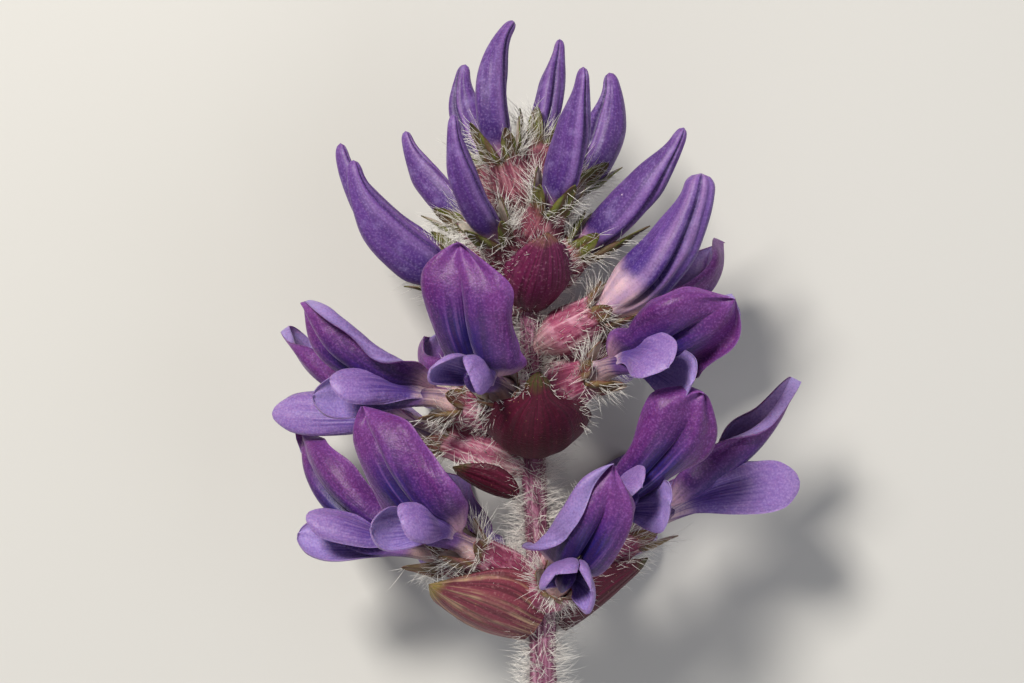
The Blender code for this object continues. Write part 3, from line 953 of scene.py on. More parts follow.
BANNER_SKIN = PetalSkin(
    "banner_petal", claw="d2a8b6", throat="4a1a66", blade="5c1c68", margin="763e88", guide="181264",
    guide_share=0.97, vein="260c48", eye="d8cfee", eye_share=0.85, glint="9a68b0")
BANNER_BACK = PetalSkin(
    "banner_back", claw="c9a6b8", throat="5c3688", blade="6c3884", margin="9482bc", guide="4a2c80",
    guide_share=0.2, vein="482668", eye="d8cfee", eye_share=0.0, glint="a488c0", margin_from=0.35)
WING_SKIN = PetalSkin(
    "wing_petal", claw="e6c4c4", throat="5e4098", blade="8464a8", margin="9074b0", guide="3c2078",
    guide_share=0.35, vein="4e3384", eye="eadcec", eye_share=0.55, glint="b098ca", claw_end=0.27)
# The inner face of a wing: a lighter copy of the wing's colours, painted light to offset the shade in its
# hollow
WING_INSIDE_LIT = PetalSkin(
    "wing_inside_lit", claw="dcb6c2", throat="6a50ac", blade="9078ba", margin="a08ac8", guide="50348c",
    guide_share=0.2, vein="5a3f92", eye="eadcec", eye_share=0.3, glint="bca6d4", claw_end=0.25)
KEEL_SKIN = PetalSkin(
    "keel_petal", claw="dcb8b6", throat="7c5494", blade="3a1c68", margin="2a1250", guide="200c46",
    guide_share=0.5, vein="2c1450", eye="d8c2e0", eye_share=0.4, glint="7c5a9c", claw_end=0.36)
BUD_SKIN = BudSkin("bud_petal", claw="b888aa", throat="42246f", blade="5b3680", tip="704892",
                   pale="8c68a8", seam="200c44")
OPENING_SKIN = BudSkin("opening_petal", claw="dcb8c4", throat="46287c", blade="6c4894", tip="805ca4",
                       pale="a680b4", seam="241050", claw_end=0.3)
CALYX_SKIN = CalyxSkin("calyx_skin", foot="d0a8ac", tube="a04a6c", rib="6c2040", tooth="6e5a34",
                       light="e2c6cc", highlight_cloud="cc94a8")
CALYX_LINING = CalyxSkin("calyx_lining", foot="c8b0a8", tube="c6b0a8", rib="a08c80", tooth="cbc2b2",
                         light="ddd4ca", highlight_cloud="d6cac0")
CROWN_CALYX_SKIN = CalyxSkin("crown_calyx_skin", foot="a87880", tube="7c3c50", rib="521a30",
                             tooth="5c6420", light="bc8c94", highlight_cloud="a0646e")
STEM_SKIN = StemSkin("stem_skin", streak="52263f", body="824a66", light="b0849a", stain="6d5a3c")
PITH_SKIN = PlainSkin("cut_pith", "c9c39a", "a8a878", 0.6)
ANTHER_SKIN = PlainSkin("anther", "e9dfae", "d8c58a", 0.5)
FILAMENT_SKIN = PlainSkin("filament", "e6dcea", "cdbfe0", 0.45)
HAIR_SKIN = HairSkin("silver_hair", "f1eee8")
PAPER_SKIN = PlainSkin("floor_paper", "c8c7c3", "c8c7c3", 0.8)


class BractLook(Enum):
    """The three finishes that a bract may have."""

    DARK = BractSkin("bract_maroon", foot="3a0618", body="4c0824", cusp="3c3c16", cusp_from=0.8,
                     stripe="6a1438", strength=0.5, stripes=16.0, glint="7e2848")
    ROSE = BractSkin("bract_rose", foot="4c0f2a", body="661e46", cusp="7a5a40", cusp_from=0.86,
                     stripe="7e3e5e", strength=0.4, stripes=14.0, glint="b07c92")
    STRIPED = BractSkin("bract_striped", foot="5a1c30", body="7a3444", cusp="8a7a3c", cusp_from=0.8,
                        stripe="b8987a", strength=0.8, stripes=17.0, glint="a87878")


class FlowerPart(IntEnum):
    """The parts of a flower that have a material each, by its number."""

    BANNER = 0
    WING = 1
    KEEL = 2
    FILAMENT = 3
    ANTHER = 4
    BANNER_BACK = 5
    WING_INSIDE_LIT = 6


FLOWER_SKINS = {
    FlowerPart.BANNER: BANNER_SKIN, FlowerPart.WING: WING_SKIN, FlowerPart.KEEL: KEEL_SKIN,
    FlowerPart.FILAMENT: FILAMENT_SKIN, FlowerPart.ANTHER: ANTHER_SKIN,
    FlowerPart.BANNER_BACK: BANNER_BACK, FlowerPart.WING_INSIDE_LIT: WING_INSIDE_LIT,
}


# Flowers


@dataclass(frozen=True)
class Place:
    """A piece's name and its place on the stem."""

    name: str
    height: float
    turn: float
    rise: float
    roll: float = 0.0

    def axes(self) -> Axes:
        """Return the piece's directions."""
        return Axes.of(self.height, self.turn, self.rise, self.roll)

    def seed(self) -> int:
        """Return a number of its own for its random draws."""
        return sum(ord(letter) * (place + 7) for place, letter in enumerate(self.name))

    def luck(self, kinds: int) -> float:
        """Return one of that many numbers from 0 to 1, for its finish to vary by."""
        return (self.seed() % kinds) / kinds


@dataclass(frozen=True)
class Flower(Place):
    """An open flower: a banner that turns up, two wings and a keel between them."""

    calyx: float = 6.0  # how far from the stem the mouth of its calyx is
    tooth: float = 3.4  # length of its lowest calyx tooth
    banner: float = 15.0  # length
    width: float = 7.6  # of the banner
    bend: float = 45.0  # how far the banner turns up
    fold: float = 25.0  # how far the banner's halves are folded together
    wing: float = 12.0  # length
    drop: float = 8.0  # how far the wings turn down
    ruffle: float = 0.22  # height of the waves along the banner's margins
    late: float = 1.04  # over 1 where the banner is widest near its tip
    point: float = 0.6  # over 0.5 where the banner's tip is drawn out
    flare: float = 18.0  # the banner's tip turns back further by this much
    rolls: tuple[float, float] = (80.0, 80.0)  # each margin of the banner rolls back, or forward below 0
    roll_over: tuple[float, float] = (0.6, 0.96)  # between which shares of the banner's halves they roll
    paddle: float = 1.95  # half the wing's width
    cupped: float = 1.0  # how hollow the wings are
    lean: float = 0.25  # how far their upper edges lean to each other

    def build(self, skins: Sequence[bpy.types.Material]) -> bpy.types.Object:
        """Build the petals and the stamens' tips as one piece.

        Args:
            skins: The materials, in the order of FlowerPart.

        Returns:
            The piece.
        """
        draft = Draft()
        luck = self.luck(97)
        draft.shell(Banner(self), BANNER_LEAF, FlowerPart.BANNER, luck, FlowerPart.BANNER_BACK)
        outside, inside = FlowerPart.WING, FlowerPart.WING_INSIDE_LIT
        for hand, front, back in ((-1, inside, outside), (1, outside, inside)):
            draft.shell(Wing(self, hand), WING_LEAF, front, luck + 0.3 * hand, back)
        keel = Keel(self)
        draft.tube(keel, KEEL_QUADS, FlowerPart.KEEL, luck)
        Stamens(keel, self.seed()).add_to(draft)
        return put("flower_" + self.name, draft, skins, ["corolla_" + self.name])


@dataclass(frozen=True)
class Banner(Surface):
    """The upper petal: a claw, then a broad blade, creased along its middle and rolled at its sides."""

    flower: Flower
    crease: float = 1.05  # radians by which the halves rise to their shoulders from the middle line
    fullness: float = 1.22  # the blade is this much wider than it looks with its sides rolled
    claw_half: float = 0.7  # half the width of the claw

    def points(self, u: np.ndarray, v: np.ndarray) -> np.ndarray:
        """Find points of the banner.

        Args:
            u: How far out they are, from 0 at its root to 1 at its tip.
            v: How far across, from -1 at one margin to 1 at the other.

        Returns:
            The points.
        """
        flower = self.flower
        draw = np.random.default_rng(flower.seed())
        length = flower.banner - PETAL_ROOT
        claw = (CLAW_LENGTH - PETAL_ROOT) / length
        spine = Spine(flower.calyx + PETAL_ROOT, 0.4, length, flower.bend, claw * 0.6, flower.flare)
        u, v = both(u, v)
        off = np.abs(v)
        along, rise, heading = spine.at(u)
        out = np.maximum(0.0, u - claw * CLAW_END) / (1.0 - claw * CLAW_END)

        # The outline: how wide the blade is over its length, with its sides swaying a little
        swell = swelling(out, flower.late) ** (0.48 + (flower.point - 0.48) * smooth(0.4, 0.7, out))
        swell = swell * (0.6 + 0.4 * smooth(0.0, 0.35, out))
        sway = draw.uniform(0.0, FULL_TURN, 2)
        swell = swell * (1.0 + 0.07 * np.sin(11.0 * u + np.where(v < 0.0, sway[0], sway[1])) * off)
        opened = smooth(0.04, 0.28, out)
        half = self.claw_half * (1.0 - 0.93 * smooth(0.8, 1.0, out))
        half = half + (flower.width * 0.5 * self.fullness - self.claw_half) * swell

        # How far each margin rolls, how far the halves are folded, and how sharp the crease is
        uneven = draw.uniform(0.8, 1.15, 2)
        roll = np.radians(np.where(v < 0.0, flower.rolls[0] * uneven[0], flower.rolls[1] * uneven[1]))
        half = half * np.where(roll < 0.0, 1.18, 1.0)
        rolled_back = opened * (1.0 - 0.6 * smooth(0.7, 1.0, out))
        roll = roll * np.where(roll < 0.0, smooth(0.1, 0.5, out), rolled_back)
        fold = math.radians(flower.fold) * (1.0 - 0.6 * smooth(0.5, 1.0, u)) * smooth(0.0, 0.3, out)
        crease = self.crease * opened * (1.0 - 0.85 * smooth(0.6, 1.0, out))
        phase = draw.uniform(0.0, FULL_TURN, 4)
        wave = 0.4 * np.sin(8.0 * u + phase[0]) * opened
        skew = draw.uniform(0.5, 1.0) * draw.choice((-1.0, 1.0))

        def turn(share: np.ndarray) -> np.ndarray:
            """Return the section's angle: forward from the crease to a shoulder, and then back.

            Args:
                share: How far across, as a share of the half width.

            Returns:
                The angle in radians.
            """
            rim = crease[..., None] * np.exp(-(share / 0.3) ** 3)
            bulge = (1.3 * fold[..., None] + 0.2 + wave[..., None] * share) * smooth(0.12, 0.62, share)
            return roll[..., None] * smooth(*flower.roll_over, share) - rim + bulge

        # The section, and on it the ripples of the margins, a soft drape and a wave at the tip
        aside, lift = walk(turn, off)
        across = np.sign(v) * aside * half + skew * smooth(0.55, 1.0, out) ** 2
        waves = np.sin(10.0 * u + phase[1] + 1.3 * v) + 0.6 * np.sin(19.0 * u + phase[2] - 2.0 * v)
        lift = lift * half + flower.ruffle * waves * off ** 2 * opened
        lift = lift + 0.21 * np.sin(7.5 * v + phase[3] + 1.8 * u) * opened
        lift = lift + 0.45 * np.sin(4.5 * v + phase[2]) * smooth(0.72, 1.0, out) * off
        return flower.axes().beside(along, rise, heading, lift, across)


@dataclass(frozen=True)
class Wing(Surface):
    """A wing: a thin claw, then a hollow paddle with an ear at its upper root."""

    flower: Flower
    hand: int
    hollow: float = 0.82  # radians that the paddle's section turns by on each side of its middle
    claw_half: float = 0.38  # half the width of the claw

    def points(self, u: np.ndarray, v: np.ndarray) -> np.ndarray:
        """Find points of the wing.

        Args:
            u: How far out they are, from 0 at its root to 1 at its tip.
            v: How far across, from -1 at its lower edge to 1 at its upper edge.

        Returns:
            The points.
        """
        flower, hand = self.flower, self.hand
        draw = np.random.default_rng(flower.seed() + 5 + hand)
        length = (flower.wing - PETAL_ROOT) * (1.0 + 0.02 * hand)
        claw = (CLAW_LENGTH - PETAL_ROOT) / length
        u, v = both(u, v)
        along, rise, heading = Spine(flower.calyx + PETAL_ROOT, -0.15, length, -flower.drop, claw).at(u)
        out = np.maximum(0.0, u - claw * CLAW_END) / (1.0 - claw * CLAW_END)

        # The outline: widest near its tip, with an ear at its upper root
        swell = swelling(out, 2.1) ** 0.42 * (0.25 + 0.75 * smooth(0.0, 0.5, out))
        half = self.claw_half * (1.0 - 0.9 * smooth(0.85, 1.0, out))
        half = half + (flower.paddle - self.claw_half) * 1.12 * swell
        half = half + 0.5 * hump(out, 0.14, 0.09) * smooth(0.0, 0.6, v)
        hollow = flower.cupped * self.hollow * draw.uniform(0.8, 1.15) * smooth(0.05, 0.5, out)
        hook = flower.cupped * draw.uniform(0.4, 0.75) * smooth(0.2, 0.7, out)

        def turn(share: np.ndarray) -> np.ndarray:
            """Return the section's angle, which grows towards both edges."""
            return hollow[..., None] * share + hook[..., None] * smooth(0.6, 1.0, share)

        tall, sink = walk(turn, np.abs(v))
        blade = smooth(claw, 1.0, u)
        phase = draw.uniform(0.0, FULL_TURN, 3)

        # How far it stands out to its side: hollow, leaning, rippled, with a dent and a crease in it
        spread = 0.38 + 1.15 * smooth(claw * 0.5, 0.8, u) + 0.45 * swell
        spread = spread - (sink + flower.lean * v * blade) * half
        spread = spread + 0.12 * np.sin(12.0 * u + phase[0]) * v * v * swell
        spread = spread - 0.32 * hump(out, 0.42, 0.14) * hump(v, 0.25, 0.3)
        spread = spread - 0.14 * hump(v + 0.3 * out, 0.6, 0.16) * smooth(0.3, 0.6, out)
        rise = rise - 0.9 * blade + 0.1 * np.sin(8.0 * u + phase[1]) * swell
        return flower.axes().beside(along, rise, heading, np.sign(v) * tall * half,
                                    hand * np.maximum(spread, 0.08))


@dataclass(frozen=True)
class Keel(Surface):
    """The keel: the bundle of claws, and past it a small folded boat with a blunt tip."""

    flower: Flower

    def points(self, u: np.ndarray, v: np.ndarray) -> np.ndarray:
        """Find points round the keel.

        Args:
            u: How far out they are, from 0 at its root to 1 at its tip.
            v: How far round it, once from -1 to 1.

        Returns:
            The points.
        """
        flower = self.flower
        root = flower.calyx - CALYX_CUP_DEPTH
        length = flower.wing * 0.72 + flower.calyx - root
        along, rise, heading = Spine(root, 0.0, length, 25.0, 0.75).at(u)
        bundle = 0.4 * (1.0 - smooth(0.1, 0.36, u))
        tall = CLAW_RADIUS + bundle + 0.3 * smooth(0.35, 0.8, u)
        wide = CLAW_RADIUS + bundle - 0.35 * smooth(0.3, 0.8, u)
        angle = math.pi * np.asarray(v, float)
        pinch = 1.0 - 0.3 * np.maximum(0.0, -np.sin(angle)) ** 2 * smooth(0.3, 0.7, u)
        tip = blunt(u, 0.9, 0.03)
        sink = 0.9 * smooth(0.3, 0.9, u)
        return flower.axes().beside(along, rise - sink, heading, tall * tip * np.sin(angle),
                                    wide * tip * pinch * np.cos(angle))


@dataclass(frozen=True)
class Stamens:
    """The tips of the stamens, a tuft that shows past the keel's upper edge."""

    keel: Keel
    seed: int
    count: int = 7
    filament_radii: tuple[float, float] = (0.06, 0.05)
    anther_radius: float = 0.13

    def add_to(self, draft: Draft) -> None:
        """Add the filaments and their anthers to the flower.

        Args:
            draft: The flower's surfaces.
        """
        draw = np.random.default_rng(self.seed)
        axes = self.keel.flower.axes()
        top = self.keel.points(np.array(0.93), np.array(0.5))
        for _ in range(self.count):
            lean = draw.uniform(-0.35, 0.35, 2)
            foot = top - axes.up * 0.5 + axes.side * 0.35 * lean[0]
            tip = top + axes.axis * (0.5 + lean[1]) + axes.up * draw.uniform(0.35, 0.9)
            tip = tip + axes.side * lean[0]
            end = tip + axes.axis * 0.12 + axes.up * 0.34
            draft.tube(Rod(foot, tip, *self.filament_radii), FILAMENT_QUADS, FlowerPart.FILAMENT)
            anther = Rod(tip, end, self.anther_radius, self.anther_radius, True)
            draft.tube(anther, ANTHER_QUADS, FlowerPart.ANTHER)


@dataclass(frozen=True)
class Rod(Surface):
    """A straight rod between two points, or a grain if it is round at its ends."""

    foot: np.ndarray
    tip: np.ndarray
    foot_radius: float
    tip_radius: float
    grain: bool = False

    def points(self, u: np.ndarray, v: np.ndarray) -> np.ndarray:
        """Find points round the rod.

        Args:
            u: How far along it they are, from 0 to 1.
            v: How far round it, once from -1 to 1.

        Returns:
            The points.
        """
        axis = unit(self.tip - self.foot)
        side = unit(np.cross(axis, (0.31, 0.87, 0.38)))
        radius = self.foot_radius + (self.tip_radius - self.foot_radius) * u
        if self.grain:
            radius = radius * np.sqrt(np.clip(1.0 - (2.0 * u - 1.0) ** 2, 0.02, 1.0))
        angle = math.pi * np.asarray(v, float)
        ring = np.cos(angle)[..., None] * side + np.sin(angle)[..., None] * np.cross(axis, side)
        return self.foot + np.asarray(u)[..., None] * (self.tip - self.foot) + radius[..., None] * ring


@dataclass(frozen=True)
class Bud(Place):
    """A closed flower: a horn whose folded banner meets in a seam near its upper edge."""

    calyx: float = 5.0  # how far from the stem the mouth of its calyx is
    tooth: float = 4.0  # length of its lowest calyx tooth
    horn: float = 12.0  # length
    bend: float = 40.0  # how far it turns up
    girth: float = 1.45  # half its height where it is thickest
    seam: float = 72.0  # where the seam runs, from its side towards its upper edge
    hook: float = 10.0  # the tip turns up further by this much
    taper: float = 0.6  # how much of its width is lost to the tip

    def build(self, skin: bpy.types.Material) -> bpy.types.Object:
        """Build the horn.

        Args:
            skin: The bud's material.

        Returns:
            The piece.
        """
        draft = Draft()
        draft.tube(Horn(self), HORN_QUADS, 0, self.luck(97))
        return put("bud_" + self.name, draft, [skin], ["bud_" + self.name])


@dataclass(frozen=True)
class Horn(Surface):
    """The outside of a bud, round and tapering, with two lips along its seam."""

    bud: Bud
    flatness: float = 0.82  # its width as a share of its height

    def points(self, u: np.ndarray, v: np.ndarray) -> np.ndarray:
        """Find points round the horn.

        Args:
            u: How far out they are, from 0 at its root to 1 at its tip.
            v: How far round it, 0 in the seam and -1 or 1 at its back.

        Returns:
            The points.
        """
        bud = self.bud
        root = bud.calyx - CALYX_CUP_DEPTH
        length = bud.horn + bud.calyx - root
        claw = (bud.calyx + 1.0 - root) / length
        u = np.asarray(u, float)
        along, rise, heading = Spine(root, 0.0, length, bud.bend - 8.0, claw, bud.hook, 0.8).at(u)
        swell = smooth(claw * 0.4, 0.36, u) * (1.0 - 0.4 * smooth(0.4, 0.95, u))
        taper = (1.0 - bud.taper * smooth(0.6, 1.0, u)) * blunt(u, 0.93, 0.02)
        tall = (CLAW_RADIUS + (bud.girth - CLAW_RADIUS) * swell) * taper
        wide = (CLAW_RADIUS + (bud.girth * self.flatness - CLAW_RADIUS) * swell) * taper
        phase = np.random.default_rng(bud.seed()).uniform(0.0, FULL_TURN, 3)
        shut = smooth(claw, 0.4, u) * (1.0 - 0.4 * smooth(0.9, 1.0, u))
        # One margin lies over the other: a raised lip, a step down beside it, and a strip in its shade
        relief = 0.12 * hump(v, 0.09, 0.1) - 0.34 * hump(v, -0.03, 0.04)
        relief = relief - 0.1 * smooth(-0.6, -0.1, v) * smooth(0.02, -0.06, v)
        relief = relief - 0.1 * hump(v + 0.05 * np.sin(5.0 * u + phase[0]), -0.24, 0.05)
        relief = relief - 0.08 * hump(v, 0.42, 0.1) + 0.05 * hump(np.abs(v), 1.0, 0.08)
        waves = 0.02 * np.sin(9.0 * u + phase[1] + 6.0 * v) + 0.015 * np.sin(21.0 * u + phase[2] - 9.0 * v)
        shape = 1.0 + relief * shut + waves
        angle = math.pi * np.asarray(v, float) + math.radians(bud.seam) + 0.45 * smooth(0.35, 1.0, u)
        return bud.axes().beside(along, rise, heading, tall * np.sin(angle) * shape,
                                 wide * np.cos(angle) * shape)


# Calyxes, bracts and stem


@dataclass(frozen=True)
class Calyx(Surface):
    """A calyx: a stalk, a swollen tube, and five teeth of which the lowest is the longest."""

    axes: Axes
    mouth: float  # how far from the stem its mouth is
    lowest: float  # length of the lowest tooth
    tooth: float = 1.9  # length of the four others
    tube_share: float = 0.62  # where along it the teeth start
    stalk_radius: float = 0.6
    widest: float = 1.8
    mouth_radius: float = 1.38
    foot: float = 0.1

    def points(self, u: np.ndarray, v: np.ndarray) -> np.ndarray:
        """Find points round the calyx.

        Args:
            u: How far out they are, from 0 at its foot to 1 at the teeth's tips.
            v: How far round it, 0 at its upper edge and -1 or 1 at the lowest tooth.

        Returns:
            The points.
        """
        u, v = both(u, v)
        along = np.clip(u / self.tube_share, 0.0, 1.0)
        out = np.clip((u - self.tube_share) / (1.0 - self.tube_share), 0.0, 1.0)
        angle = math.pi * (v + 0.5)
        radius = self.stalk_radius + (self.widest - self.stalk_radius) * smooth(0.0, 0.5, along)
        radius = radius - (self.widest - self.mouth_radius) * smooth(0.5, 1.0, along)
        radius = radius + 0.05 * np.cos(10.0 * angle) * smooth(0.2, 0.8, along)
        fifth = 2.5 * (v + 1.0)
        near = np.abs(fifth - np.round(fifth)) * 2.0
        lowest = (np.abs(v) > 0.8).astype(float)
        slope = out * np.maximum(0.03, 1.0 - near ** 1.5)
        reach = (self.tooth + (self.lowest - self.tooth) * lowest) * slope
        radius = radius + 0.5 * slope + 0.35 * slope ** 3
        radius = radius * (1.0 + 0.25 * lowest * np.sin(math.pi * out) * near)
        return self.axes.place(self.foot + (self.mouth - self.foot) * along + reach,
                               radius * np.sin(angle), radius * np.cos(angle))


@dataclass(frozen=True)
class CalyxWhorl:
    """The calyxes of one whorl, joined as one piece."""

    name: str
    owners: tuple[Flower | Bud, ...]
    tooth: float = 1.9  # length of the four upper teeth
    hairs: tuple[int, int] = (190, 190)  # on each calyx's tube and on its teeth

    def calyxes(self) -> list[tuple[Calyx, Place]]:
        """Return every calyx of the whorl with the flower or the bud that it holds."""
        return [(Calyx(owner.axes(), owner.calyx, owner.tooth, self.tooth), owner)
                for owner in self.owners]

    def build(self, skins: Sequence[bpy.types.Material]) -> bpy.types.Object:
        """Build the calyxes as one piece.

        Args:
            skins: The materials of their outside and their inside.

        Returns:
            The piece.
        """
        draft = Draft()
        for calyx, owner in self.calyxes():
            draft.shell(calyx, CALYX_LEAF, 0, owner.luck(89), 1)
        return put(self.name, draft, skins)


@dataclass(frozen=True, kw_only=True)
class Bract(Place):
    """A pointed, cupped leaf that hugs the foot of a whorl."""

    length: float
    width: float
    bend: float  # how far it turns up to its tip
    cup: float  # how far each half is curved in
    seat: float  # which way round the stem its foot is: 0 towards +Z, 90 towards +X
    look: BractLook = BractLook.DARK
    hairs: int = 160
    cusp: float = 0.0  # its tip is drawn in by this share
    clasp: float = 0.0  # its foot is this share of its full width

    def build(self, skins: dict[BractLook, bpy.types.Material]) -> bpy.types.Object:
        """Build the leaf with the finish that its look names.

        Args:
            skins: The material of each look.

        Returns:
            The piece.
        """
        draft = Draft()
        draft.shell(BractBlade(self), BRACT_LEAF, 0, self.luck(83), 0)
        return put("bract_" + self.name, draft, [skins[self.look]], ["bract_" + self.name])


@dataclass(frozen=True)
class BractBlade(Surface):
    """The surface of a bract: cupped, ribbed, and drawn out to a cusp."""

    bract: Bract
    seat_radius: float = 1.75  # from the stem's axis to its foot
    foot_half: float = 0.4  # half its least width

    def points(self, u: np.ndarray, v: np.ndarray) -> np.ndarray:
        """Find points of the leaf.

        Args:
            u: How far out they are, from 0 at its foot to 1 at its tip.
            v: How far across, from -1 at one margin to 1 at the other.

        Returns:
            The points.
        """
        bract = self.bract
        seat = math.radians(bract.seat)
        axes = bract.axes()
        foot = axes.foot + np.array((math.sin(seat), 0.0, math.cos(seat))) * self.seat_radius
        u, v = both(u, v)
        along, rise, heading = Spine(0.0, 0.0, bract.length, bract.bend, 0.1).at(u)
        swell = swelling(0.02 + 0.98 * u, 0.8) ** 0.84
        swell = (swell ** 4 + (bract.clasp * (1.0 - smooth(0.1, 0.8, u))) ** 4) ** 0.25
        half = self.foot_half * (1.0 - 0.9 * smooth(0.85, 1.0, u))
        half = half + (bract.width / 2.0 - self.foot_half) * swell
        half = half * (1.0 - bract.cusp * hump(u, 0.86, 0.1))
        fold = math.radians(bract.cup) * (1.0 - 0.5 * smooth(0.6, 1.0, u))
        bow = half / fold
        lift = bow * (1.0 - np.cos(v * fold)) + 0.05 * np.cos(math.pi * 6.0 * v) * swell
        return replace(axes, foot=foot).beside(along, rise, heading, lift, bow * np.sin(v * fold))


@dataclass(frozen=True)
class Stem(Surface):
    """The stem, finely ribbed, with a swelling under each whorl."""

    foot_radius: float = 1.15
    tip_radius: float = 0.8
    pith_radius: float = 0.82
    foot: float = -33.0
    tip: float = 19.5
    nodes: tuple[float, ...] = (-14.5, -0.5, 11.0)

    def points(self, u: np.ndarray, v: np.ndarray) -> np.ndarray:
        """Find points round the stem.

        Args:
            u: How far up it they are, from 0 at its cut end to 1.
            v: How far round it, once from -1 to 1.

        Returns:
            The points.
        """
        u, v = both(u, v)
        height = self.foot + (self.tip - self.foot) * u
        radius = self.foot_radius + (self.tip_radius - self.foot_radius) * u
        angle = math.pi * v
        radius = radius + 0.03 * np.cos(9.0 * angle) + 0.04 * np.sin(height * 1.1 + 2.0 * angle)
        for place in self.nodes:
            radius = radius + 0.22 * hump(height, place, 1.6)
        aside = np.stack((np.cos(angle), np.zeros_like(angle), np.sin(angle)), -1)
        return stem_point(height) + radius[..., None] * aside

    def build(self, skins: Sequence[bpy.types.Material]) -> bpy.types.Object:
        """Build the stem and the pith that its cut shows.

        Args:
            skins: The materials of skin and pith.

        Returns:
            The piece.
        """
        draft = Draft()
        draft.tube(self, STEM_QUADS, 0, 0.4)
        middle = stem_point(np.array(self.foot))
        pith = Rod(middle - UP * 0.04, middle + UP * 0.6, self.pith_radius, self.pith_radius)
        draft.tube(pith, PITH_QUADS, 1)
        return put("stem", draft, skins, ["stem_and_calyxes"])


# Hairs


@dataclass
class HairCoat:
    """Hairs as fine closed spikes, three-sided and curved, on any of the surfaces."""

    name: str
    seed: int
    radius: float = 0.024  # about twice that of real ones, so that they show
    bend: float = 0.16  # the tips turn aside by this share of their length
    rings: tuple[tuple[float, float], ...] = ((-0.04, 1.0), (0.35, 0.85), (0.7, 0.55))  # place and width
    roots: list[np.ndarray] = field(default_factory=list)
    ways: list[np.ndarray] = field(default_factory=list)
    lengths: list[np.ndarray] = field(default_factory=list)

    def grow(self, surface: Surface, u: np.ndarray, v: np.ndarray, lean: np.ndarray, length: float,
             spread: float, flip: float) -> None:
        """Grow hairs at places on a surface.

        Args:
            surface: What they grow on.
            u: Their places along it.
            v: Their places across it.
            lean: The direction that they lean to, with its strength as its length.
            length: Their mean length.
            spread: How far their directions differ.
            flip: -1 where the surface's normals point inward, and else 1.
        """
        draw = np.random.default_rng(self.seed + len(self.roots))
        normals = surface.normals(u, v) * flip
        ways = unit(normals + lean + spread * draw.normal(size=normals.shape))
        self.roots.append(surface.points(u, v))
        self.ways.append(ways)
        self.lengths.append(length * draw.uniform(0.55, 1.3, len(u)))

    def build(self, skin: bpy.types.Material) -> bpy.types.Object:
        """Build all the hairs as one piece.

        Args:
            skin: The hairs' material.

        Returns:
            The piece.
        """
        draw = np.random.default_rng(self.seed)
        roots, ways = np.concatenate(self.roots), np.concatenate(self.ways)
        lengths = np.concatenate(self.lengths)[:, None]
        count = len(roots)
        bend = unit(draw.normal(size=ways.shape) + 0.8 * UP)
        side = unit(np.cross(ways, draw.normal(size=ways.shape)))
        other = np.cross(ways, side)
        corners = []
        for share, width in self.rings:
            centre = roots + ways * lengths * share + bend * lengths * self.bend * max(share, 0.0) ** 2
            for angle in (0.0, FULL_TURN / 3.0, FULL_TURN * 2.0 / 3.0):
                edge = math.cos(angle) * side + math.sin(angle) * other
                corners.append(centre + self.radius * width * edge)
        corners.append(roots + ways * lengths + bend * lengths * self.bend)
        points = np.stack(corners, 1)
        each = len(corners)
        last = each - 4  # the first corner of the last ring, with the tip as the point after it
        start = np.arange(count)[:, None] * each
        quads = [start + np.array((base + k, base + (k + 1) % 3, base + 3 + (k + 1) % 3, base + 3 + k))
                 for base in range(0, last, 3) for k in range(3)]
        tips = [start + np.array((last + k, last + (k + 1) % 3, each - 1)) for k in range(3)]
        feet = start + np.array((2, 1, 0))
        draft = Draft()
        draft.add(points, np.zeros((count * each, 3)),
                  [(np.concatenate(quads), 0), (np.concatenate(tips), 0), (feet, 0)])
        return put(self.name, draft, [skin])


